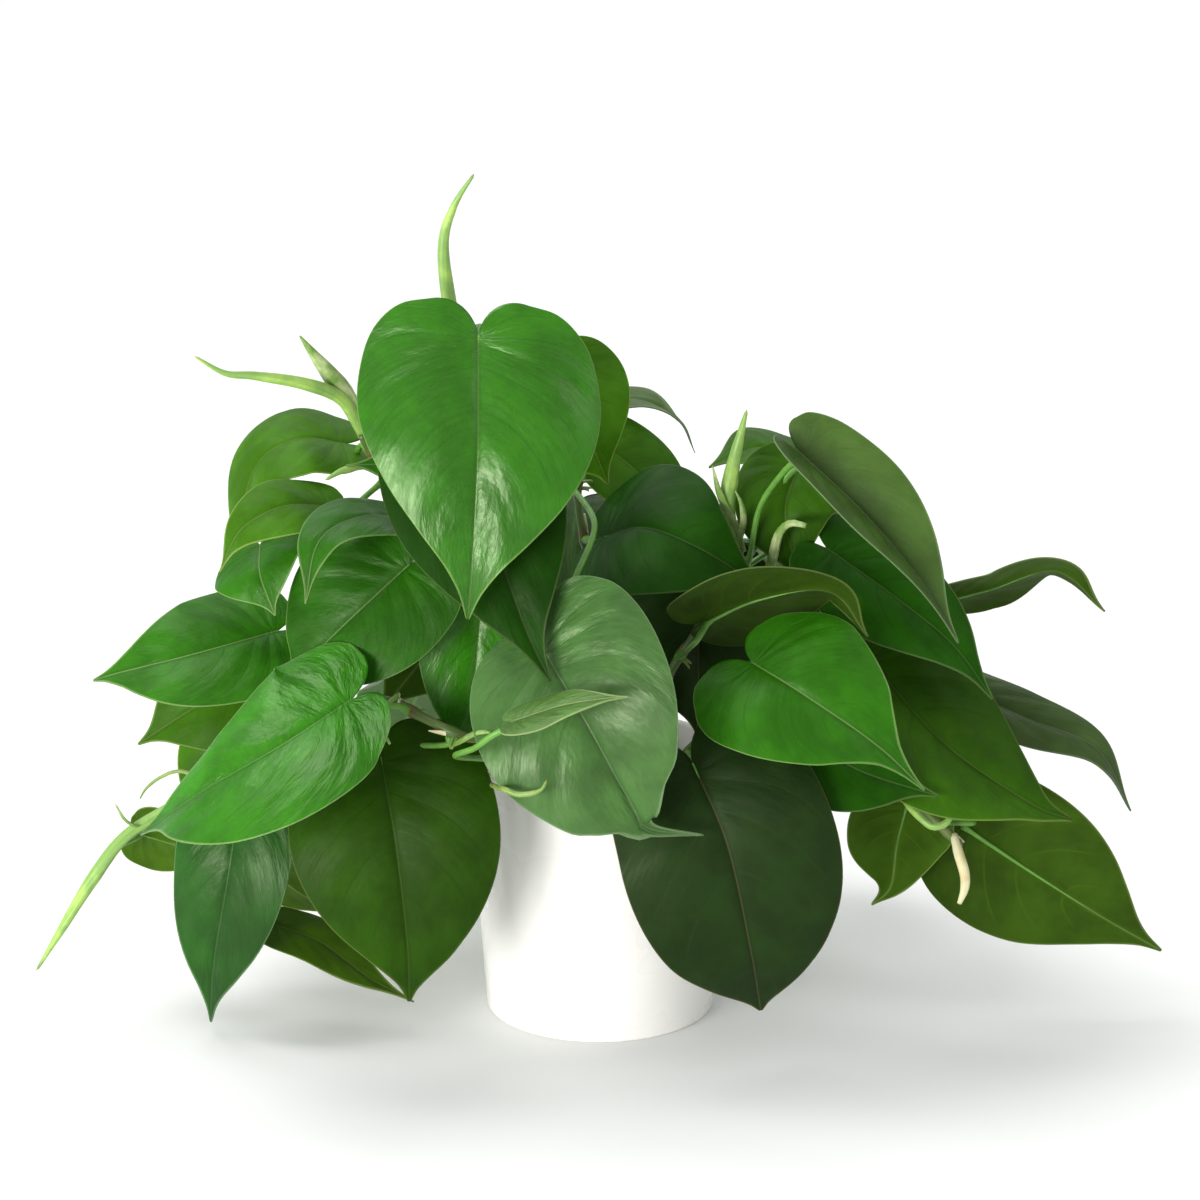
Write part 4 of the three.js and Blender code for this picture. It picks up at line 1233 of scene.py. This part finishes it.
def matte_backdrop(colours):
    """Matte studio paper: nearly white, with the faintest unevenness."""
    material = new_material("matte_backdrop")
    base = opaque(colours.floor)
    inputs = {0: spots(material, PAPER_CLOUDS, 2.0, 0.5), 6: base, 7: scaled(base, 0.985)}
    colour = add_node(material, "ShaderNodeMix", inputs, data_type="RGBA").outputs[2]
    return finish_material(material, {"Base Color": colour, "Roughness": 0.9})


def get_material(name, maker, *facts):
    """The material of that name, made the first time it is asked for."""
    return bpy.data.materials.get(name) or maker(*facts)


def leaf_materials(look, colours, sizes):
    upper = get_material("waxy_leaf_" + look, waxy_leaf_skin, look, colours, sizes)
    under = get_material("leaf_underside_" + look, waxy_leaf_skin, look, colours, sizes, True)
    tint = linear("#4c7a26")
    stalk = get_material("fleshy_stalk", fleshy_stem, "fleshy_stalk", colours.stalk, tint, STALK_PATCHES)
    return upper, under, stalk


def stalk_curve(leaf, blade):
    """A leaf's stalk, from inside its vine to the notch of its blade."""
    vine = VINE_CURVES[leaf["vine"]]
    stem_point = vine.place(leaf["at"])
    stem_way = vine.tangent(leaf["at"])
    place, tangent, _, outward = blade.frame(0)
    sideways = place - stem_point
    sideways = (sideways - stem_way * sideways.dot(stem_way)).normalized()
    start = vine_radius(leaf["at"])
    standing = stem_point + sideways * (start + CLEARANCE + STALK_STANDING) + Vector((0, 0, 1))
    approach = place - outward * STALK_BEHIND - tangent * STALK_SHORT_OF
    via = [Vector(point) for point in leaf.get("via", [approach])]
    inner = stem_point + sideways * (start * STALK_ROOTED)
    outer = stem_point + sideways * (start + CLEARANCE)
    end = place + tangent * STALK_INTO_BLADE - outward * STALK_UNDER_BLADE
    return SmoothCurve([inner, outer, standing, *via, end])


class PlantSizes(bpy.types.PropertyGroup):
    """Sizes of the small forms, which a user may change."""

    blade_thickness: bpy.props.FloatProperty(
        name="Blade thickness", description="How thick a leaf blade is",
        default=0.5 * MM, min=0.2 * MM, max=1.2 * MM, precision=5, unit="LENGTH",
    )
    vein_depth: bpy.props.FloatProperty(
        name="Vein depth", description="How deep the side veins are sunk in a large leaf",
        default=0.25 * MM, min=0, max=1 * MM, precision=5, unit="LENGTH",
    )
    margin_wave: bpy.props.FloatProperty(
        name="Margin wave", description="How far the margin of a large leaf waves up and down",
        default=0.8 * MM, min=0, max=2 * MM, precision=5, unit="LENGTH",
    )
    rumple: bpy.props.FloatProperty(
        name="Rumple", description="How uneven the surface of a large leaf is",
        default=0.9 * MM, min=0, max=2 * MM, precision=5, unit="LENGTH",
    )
    side_veins: bpy.props.IntProperty(
        name="Side veins", description="How many side veins each half of a leaf has",
        default=8, min=3, max=14,
    )
    crumb_size: bpy.props.FloatProperty(
        name="Crumb size", description="The width of the larger crumbs on the soil",
        default=2.4 * MM, min=0.5 * MM, max=5 * MM, precision=5, unit="LENGTH",
    )
    crumb_count: bpy.props.IntProperty(
        name="Crumbs", description="How many crumbs and chips lie on the soil",
        default=520, min=0, max=2000,
    )


def colour_property(name, description, hex_colour):
    return bpy.props.FloatVectorProperty(
        name=name, description=description, default=linear(hex_colour)[:3], min=0, max=1, subtype="COLOR",
    )


class PlantColours(bpy.types.PropertyGroup):
    """Colours of the pieces, which a user may change."""

    glossy: colour_property("Glossy leaf", "The grown leaves in the light", "#2b6c08")
    streaked: colour_property("Streaked leaf", "The leaf with streaked shine", "#2b7006")
    vivid: colour_property("Bright leaf", "The brightest leaves", "#2d6c0c")
    greyish: colour_property("Grey-green leaf", "The grey-green leaf in the middle", "#4c7a38")
    dusty: colour_property("Dusty leaf", "The dull grey-green leaves on the right", "#426122")
    bluish: colour_property("Blue-green leaf", "The blue-green hanging leaf", "#1a4a0e")
    olive: colour_property("Olive leaf", "The darker leaves with a warm tint", "#315a08")
    # Painted shade: the inner leaves are given a darker green for the shade they stand in.
    shaded: colour_property("Dark leaf", "The dark inner leaves", "#1f5204")
    # Painted shade: the darkest green, for the leaf in front of the pot in deep shade.
    darkest: colour_property("Darkest leaf", "The dark leaf in front of the pot", "#1a320c")
    # Partly painted light: the undersides' olive, as it looks lit through from behind.
    backlit: colour_property("Turned leaf", "The leaves that show their undersides", "#355209")
    young: colour_property("Young leaf", "The young leaves", "#527834")
    stalk: colour_property("Leaf stalk", "The leaf stalks", "#5c8f34")
    # Partly painted shade: the vines' own green, drawn darker for the shade they lie in.
    vine: colour_property("Vine", "The vines", "#46602a")
    shoot: colour_property("Shoot", "The rolled young leaves", "#7ba04e")
    sheath: colour_property("Young sheath", "The sheaths that young leaves come out of", "#6e9140")
    husk: colour_property("Dry sheath", "The papery sheaths at the joints", "#d8d3a8")
    root: colour_property("Aerial root", "The short aerial roots", "#68893c")
    pot: colour_property("Pot", "The glaze of the pot", "#f3f1ec")
    soil: colour_property("Soil", "The damp potting soil", "#3a2a1e")
    floor: colour_property("Floor", "The floor of the studio", "#f4f4f2")


def inner_radius(height):
    """The radius of the inside of the pot's wall."""
    return FOOT_RADIUS + (RIM_RADIUS - FOOT_RADIUS) * height / POT_HEIGHT - POT_WALL


class PHILODENDRON_OT_pot(bpy.types.Operator):
    """Turn the round white pot on its axis and round its edges"""

    bl_idname = "philodendron.pot"
    bl_label = "Pot"

    def execute(self, context):
        colours = context.scene.philodendron_colours
        inner = inner_radius(POT_FLOOR)
        profile = [
            (0, 0), (FOOT_RADIUS, 0), (RIM_RADIUS, POT_HEIGHT), (RIM_RADIUS - POT_WALL, POT_HEIGHT),
            (inner, POT_FLOOR), (0, POT_FLOOR),
        ]
        bm = bmesh.new()
        spin_profile(bm, profile)
        for radius, height, rounding in (
            (FOOT_RADIUS, 0, FOOT_ROUNDING), (RIM_RADIUS, POT_HEIGHT, RIM_ROUNDING),
            (RIM_RADIUS - POT_WALL, POT_HEIGHT, LIP_ROUNDING), (inner, POT_FLOOR, INNER_ROUNDING),
        ):
            round_ring(bm, radius, height, rounding)
        bmesh.ops.recalc_face_normals(bm, faces=bm.faces[:])
        glaze = get_material("glazed_white_ceramic", glazed_white_ceramic, colours)
        finish_piece("glazed_pot", bm, [glaze], ["pot"])
        return {"FINISHED"}


def spin_profile(bm, profile):
    """A body turned on the upright axis, its poles closed."""
    verts = [bm.verts.new((radius * MM, 0, height * MM)) for radius, height in profile]
    edges = [bm.edges.new(pair) for pair in zip(verts, verts[1:])]
    bmesh.ops.spin(
        bm, geom=verts + edges, cent=(0, 0, 0), axis=(0, 0, 1), angle=2 * math.pi, steps=TURN_STEPS,
        use_merge=True,
    )
    bmesh.ops.remove_doubles(bm, verts=bm.verts[:], dist=1e-6)
    bmesh.ops.recalc_face_normals(bm, faces=bm.faces[:])


def round_ring(bm, radius, height, rounding):
    """Rounds the edges that go round the axis at one radius and height."""
    def on_ring(vertex):
        away = math.hypot(vertex.co.x, vertex.co.y)
        return abs(away - radius * MM) < 1e-5 and abs(vertex.co.z - height * MM) < 1e-5
    ring = [edge for edge in bm.edges if all(on_ring(vertex) for vertex in edge.verts)]
    bmesh.ops.bevel(
        bm, geom=ring, offset=rounding * MM, segments=4, profile=0.5, affect="EDGES", material=-1,
    )


def soil_height(x, y):
    """The uneven top of the soil, in millimetres."""
    away = math.hypot(x, y)
    height = SOIL_HEIGHT + SOIL_RISE - SOIL_FALL * (away / SOIL_RADIUS) ** 2
    for size, swing, layer in SOIL_LUMPS:
        height += swing * noise.noise((x / size, y / size, layer))
    return height


class PHILODENDRON_OT_soil(bpy.types.Operator):
    """Fill the pot with damp soil and strew crumbs, bark chips and perlite on it"""

    bl_idname = "philodendron.soil"
    bl_label = "Soil"

    def execute(self, context):
        colours = context.scene.philodendron_colours
        sizes = context.scene.philodendron_sizes
        peat = get_material("damp_potting_soil", damp_potting_soil, colours)
        low = POT_FLOOR + CLEARANCE
        corner = low + SOIL_CORNER
        edge = SOIL_HEIGHT - SOIL_EDGE_DROP
        reach = [inner_radius(height) - SOIL_GAP for height in (low, corner, edge)]
        top = [(reach[2] * ring / SOIL_RINGS, SOIL_HEIGHT) for ring in range(SOIL_RINGS - 1, -1, -1)]
        bm = bmesh.new()
        profile = [(0, low), (reach[0] - SOIL_CORNER, low), (reach[1], corner), (reach[2], edge), *top]
        spin_profile(bm, profile)
        for vertex in bm.verts:
            if vertex.co.z > (SOIL_HEIGHT - 1) * MM:
                vertex.co.z = soil_height(vertex.co.x / MM, vertex.co.y / MM) * MM
        finish_piece("potting_soil", bm, [peat], ["soil"])
        bark = get_material("bark_chips", loose_chips, "bark_chips", linear("#6b4a30"), BARK_GRAIN)
        perlite = get_material("perlite", loose_chips, "perlite", linear("#e6e1d6"), PERLITE_GRAIN)
        finish_piece("soil_crumbs", self.crumbs(sizes), [peat, bark, perlite])
        return {"FINISHED"}

    def crumbs(self, sizes):
        chance = random.Random("crumbs")
        bm = bmesh.new()
        for _ in range(sizes.crumb_count):
            away = CRUMB_REACH * math.sqrt(chance.random())
            turn = chance.uniform(0, 2 * math.pi)
            x = away * math.cos(turn)
            y = away * math.sin(turn)
            kind = chance.choices((0, 1, 2), (6, 2, 1))[0]
            size = sizes.crumb_size / MM * chance.uniform(0.3, 0.75)
            stretch = Matrix.Diagonal((1, chance.uniform(0.5, 0.9), chance.uniform(0.35, 0.8), 1))
            if kind == 1:
                stretch = Matrix.Diagonal((chance.uniform(1.2, 2), chance.uniform(0.5, 0.9), 0.35, 1))
            turned = Euler([chance.uniform(-0.5, 0.5), chance.uniform(-0.5, 0.5), chance.uniform(0, 6.3)])
            place = Matrix.Translation(Vector((x, y, soil_height(x, y) + size * 0.15)) * MM)
            matrix = place @ turned.to_matrix().to_4x4() @ stretch
            made = bmesh.ops.create_icosphere(bm, subdivisions=1, radius=size * MM, matrix=matrix)["verts"]
            for vertex in made:
                vertex.co += Vector([chance.uniform(-0.2, 0.2) * size * MM for _ in range(3)])
            for face in faces_at(made):
                face.material_index = kind
        return bm


def vine_joints(name):
    """Where on a vine its leaves stand, as shares of its length."""
    return [leaf["at"] for leaf in LEAVES.values() if leaf["vine"] == name]


class PHILODENDRON_OT_vines(bpy.types.Operator):
    """Grow the vines out of the soil, thicker at each joint that bears a leaf"""

    bl_idname = "philodendron.vines"
    bl_label = "Vines"

    def execute(self, context):
        colours = context.scene.philodendron_colours
        # The vine's green is drawn darker as painted shade.
        skin = get_material("vine_skin", fleshy_stem, "vine_skin", colours.vine, linear("#6d7a3e"))
        for name in VINES:
            curve = VINE_CURVES[name]
            joints = vine_joints(name)
            count = math.ceil(curve.length / VINE_STEP)
            places = curve.places(count + 1)
            radii = []
            scars = []
            for step in range(count + 1):
                share = step / count
                off = min((abs(share - joint) * curve.length for joint in joints), default=curve.length)
                radii.append(vine_radius(share) - VINE_SLIMMER + NODE_SWELL * bell(off, NODE_REACH))
                scars.append(bell(max(off - SCAR_OFF, 0), SCAR_REACH) * (1 if off > 1 else SCAR_IN_JOINT))
            places.append(places[-1] + curve.tangent(1) * VINE_TIP)
            radii.append(radii[-1] * VINE_TIP_SHARE)
            scars.append(VINE_TIP_SCAR)
            bm = bmesh.new()
            add_stem(bm, places, radii, VINE_SIDES, scars=scars)
            finish_piece(name + "_skin", bm, [skin], [name])
        return {"FINISHED"}


class PHILODENDRON_OT_shoots(bpy.types.Operator):
    """Grow the rolled young leaves, and the sheaths and short roots at the joints"""

    bl_idname = "philodendron.shoots"
    bl_label = "Shoots, sheaths and roots"

    SKINS = {"roll": 0, "sheath": 1, "husk": 2, "root": 3, "stem": 0}

    def execute(self, context):
        colours = context.scene.philodendron_colours
        materials = [
            get_material("young_shoot", fleshy_stem, "young_shoot", colours.shoot, linear("#a9cd62")),
            get_material("young_sheath", fleshy_stem, "young_sheath", colours.sheath, linear("#cfd8a0")),
            get_material("papery_sheath", papery_sheath, colours),
            get_material("aerial_root", fleshy_stem, "aerial_root", colours.root, linear("#9aa85a")),
        ]
        for name, vine in VINES.items():
            bm = bmesh.new()
            for shoot in vine["shoots"]:
                self.grow(bm, shoot)
            self.grow_at_joints(bm, name)
            finish_piece(name + "_shoots", bm, materials, [name])
        return {"FINISHED"}

    def grow(self, bm, shoot):
        kind = shoot["kind"]
        if "widths" in shoot:
            facing = facing_of(*shoot["facing"])
            cup = math.radians(shoot["cup"])
            add_sheath(bm, shoot["points"], facing, shoot["widths"], cup, self.SKINS[kind])
            return
        curve = SmoothCurve(shoot["points"])
        count = max(math.ceil(curve.length / SHOOT_STEP), 6)
        places = curve.places(count + 1)
        radii = [along(shoot["radii"], step / count) for step in range(count + 1)]
        radii[-1] = 0
        scars = [SHOOT_TIP_SCAR * smooth_step(step / count, SHOOT_SCAR_FROM, 1) for step in range(count + 1)]
        wrap = ROLL_EDGE if kind == "roll" else 0
        add_stem(bm, places, radii, SHOOT_SIDES, self.SKINS[kind], wrap=wrap, scars=scars)

    def grow_at_joints(self, bm, name):
        """A dry husk and one to three short roots at each joint, on a side that looks partly down."""
        chance = random.Random(name)
        curve = VINE_CURVES[name]
        for joint in vine_joints(name):
            if joint > LAST_JOINT:
                continue
            place = curve.place(joint)
            way = curve.tangent(joint)
            radius = vine_radius(joint)
            husk_way = twist_free_frames([place, place + way])[0][0].lerp(Vector((0, 0, -1)), HUSK_DOWN)
            outward = (husk_way - way * husk_way.dot(way)).normalized()
            length = chance.uniform(6, 11)
            points = [
                place + outward * (radius + off) + way * length * share
                for off, share in HUSK_COURSE
            ]
            add_sheath(bm, points, outward, HUSK_WIDTHS, math.radians(HUSK_CUP), self.SKINS["husk"])
            for _ in range(chance.randint(1, 3)):
                start = place - way * chance.uniform(0.5, 3)
                aside = (outward + way.cross(outward) * chance.uniform(-0.9, 0.9)).normalized()
                reach = chance.uniform(2.5, 6)
                tip = start + aside * (radius + reach) - Vector((0, 0, chance.uniform(0.5, 2.5)))
                bent = (start + aside * (radius + reach * 0.5) + tip) / 2
                places = SmoothCurve([start, start + aside * radius, bent, tip]).places(len(ROOT_RADII))
                add_stem(bm, places, ROOT_RADII, ROOT_SIDES, self.SKINS["root"])


class PHILODENDRON_OT_leaves(bpy.types.Operator):
    """Grow the leaves: each a thin veined blade, its stalk, and the rib that runs on under it"""

    bl_idname = "philodendron.leaves"
    bl_label = "Leaves"

    def execute(self, context):
        colours = context.scene.philodendron_colours
        sizes = context.scene.philodendron_sizes
        for name, leaf in LEAVES.items():
            blade = Blade(name, leaf, sizes)
            bm = bmesh.new()
            add_blade(bm, blade, (0, 1))
            self.add_stalk(bm, blade, stalk_curve(leaf, blade))
            finish_piece(name + "_blade", bm, leaf_materials(leaf["look"], colours, sizes), [name])
        return {"FINISHED"}

    def add_stalk(self, bm, blade, curve):
        count = max(math.ceil(curve.length / STALK_STEP), 8)
        places = curve.places(count + 1)
        radii = []
        for step in range(count + 1):
            down = step / count * curve.length
            left = curve.length - down
            foot = FOOT_SWELL * bell(down, FOOT_REACH)
            radii.append(STALK_RADIUS * (1 + foot + NECK_SWELL * bell(max(left - NECK_REACH, 0), NECK_REACH)))
        for step in range(1, RIB_STEPS + 1):
            share = RIB_START + RIB_LENGTH * step / RIB_STEPS
            place, _, _, outward = blade.frame(blade.bellied(share))
            radii.append(max(STALK_RADIUS * blade.scale * (RIB_SHARE - share * RIB_TAPER), RIB_THINNEST))
            sunk = MIDRIB_DEPTH * blade.scale - blade.thickness / 2 + RIB_SUNK
            places.append(place - outward * (sunk + radii[-1]))
        add_stem(bm, places, radii, STALK_SIDES, material=2)


# The camera looks at the middle of the plant from a little above, through a long lens.
CAMERA_PLACE = (0, -1.4419, 0.5785)
CAMERA_TILT = math.radians(74)
LENS = 117
FLOOR_RADIUS = 9
SENSOR_WIDTH = 36

# The lights: where each stands, its two sides, its power and what it is aimed at.
PLANT_MIDDLE = (0, 0, 0.15)
LIGHTS = {
    "overhead_light": ((-1.0, 0.25, 2.2), (1.4, 1.4), 32, PLANT_MIDDLE),
    "window_light": ((-1.05, -1.5, 0.27), (1.1, 0.44), 34, PLANT_MIDDLE),
    "fill_light": ((1.6, -0.7, 1.5), (1.0, 1.0), 6, PLANT_MIDDLE),
    "backdrop_light": ((0, 3.4, 2.6), (5.0, 2.5), 50, (0, 3.4, 0)),
}
WORLD_COLOUR = "#f4f6f8"
WORLD_STRENGTH = 0.68


class PHILODENDRON_OT_stage(bpy.types.Operator):
    """Set up the camera, the pale floor and the soft studio light"""

    bl_idname = "philodendron.stage"
    bl_label = "Stage"

    def execute(self, context):
        scene = context.scene
        colours = scene.philodendron_colours
        camera = bpy.data.objects.new("camera", bpy.data.cameras.new("camera"))
        camera.data.lens = LENS
        camera.data.sensor_width = SENSOR_WIDTH
        camera.location = CAMERA_PLACE
        camera.rotation_euler = (CAMERA_TILT, 0, 0)
        scene.collection.objects.link(camera)
        scene.camera = camera
        bm = bmesh.new()
        bmesh.ops.create_circle(bm, cap_ends=True, cap_tris=True, segments=64, radius=FLOOR_RADIUS)
        mesh = bpy.data.meshes.new("floor")
        bm.to_mesh(mesh)
        bm.free()
        mesh.materials.append(get_material("matte_backdrop", matte_backdrop, colours))
        floor = bpy.data.objects.new("floor", mesh)
        scene.collection.objects.link(floor)
        for name, facts in LIGHTS.items():
            self.add_light(name, *facts)
        world = bpy.data.worlds.new("studio")
        world.use_nodes = True
        background = world.node_tree.nodes["Background"]
        background.inputs["Color"].default_value = linear(WORLD_COLOUR)
        background.inputs["Strength"].default_value = WORLD_STRENGTH
        scene.world = world
        scene.view_settings.view_transform = "Standard"
        return {"FINISHED"}

    def add_light(self, name, place, size, power, target):
        data = bpy.data.lights.new(name, "AREA")
        data.shape = "RECTANGLE"
        data.size, data.size_y = size
        data.energy = power
        light = bpy.data.objects.new(name, data)
        light.location = place
        aim = Vector(target) - Vector(place)
        light.rotation_euler = aim.to_track_quat("-Z", "Y").to_euler()
        bpy.context.scene.collection.objects.link(light)


OPERATORS = (
    PHILODENDRON_OT_pot,
    PHILODENDRON_OT_soil,
    PHILODENDRON_OT_vines,
    PHILODENDRON_OT_shoots,
    PHILODENDRON_OT_leaves,
    PHILODENDRON_OT_stage,
)


class PHILODENDRON_PT_panel(bpy.types.Panel):
    """The plant's sizes, colours and pieces"""

    bl_idname = "PHILODENDRON_PT_panel"
    bl_label = "Philodendron"
    bl_space_type = "VIEW_3D"
    bl_region_type = "UI"
    bl_category = "Philodendron"

    def draw(self, context):
        layout = self.layout
        for label, group in (
            ("Sizes", context.scene.philodendron_sizes), ("Colours", context.scene.philodendron_colours),
        ):
            box = layout.box()
            box.label(text=label)
            for name in group.__annotations__:
                box.prop(group, name)
        box = layout.box()
        box.label(text="Pieces")
        for operator in OPERATORS:
            box.operator(operator.bl_idname)


CLASSES = (PlantSizes, PlantColours, *OPERATORS, PHILODENDRON_PT_panel)


def register():
    for each in CLASSES:
        bpy.utils.register_class(each)
    bpy.types.Scene.philodendron_sizes = bpy.props.PointerProperty(type=PlantSizes)
    bpy.types.Scene.philodendron_colours = bpy.props.PointerProperty(type=PlantColours)


def unregister():
    del bpy.types.Scene.philodendron_colours
    del bpy.types.Scene.philodendron_sizes
    for each in reversed(CLASSES):
        bpy.utils.unregister_class(each)


def main():
    """Builds the whole plant."""
    register()
    bpy.ops.philodendron.pot()
    bpy.ops.philodendron.soil()
    bpy.ops.philodendron.vines()
    bpy.ops.philodendron.shoots()
    bpy.ops.philodendron.leaves()
    bpy.ops.philodendron.stage()


if __name__ == "__main__":
    main()
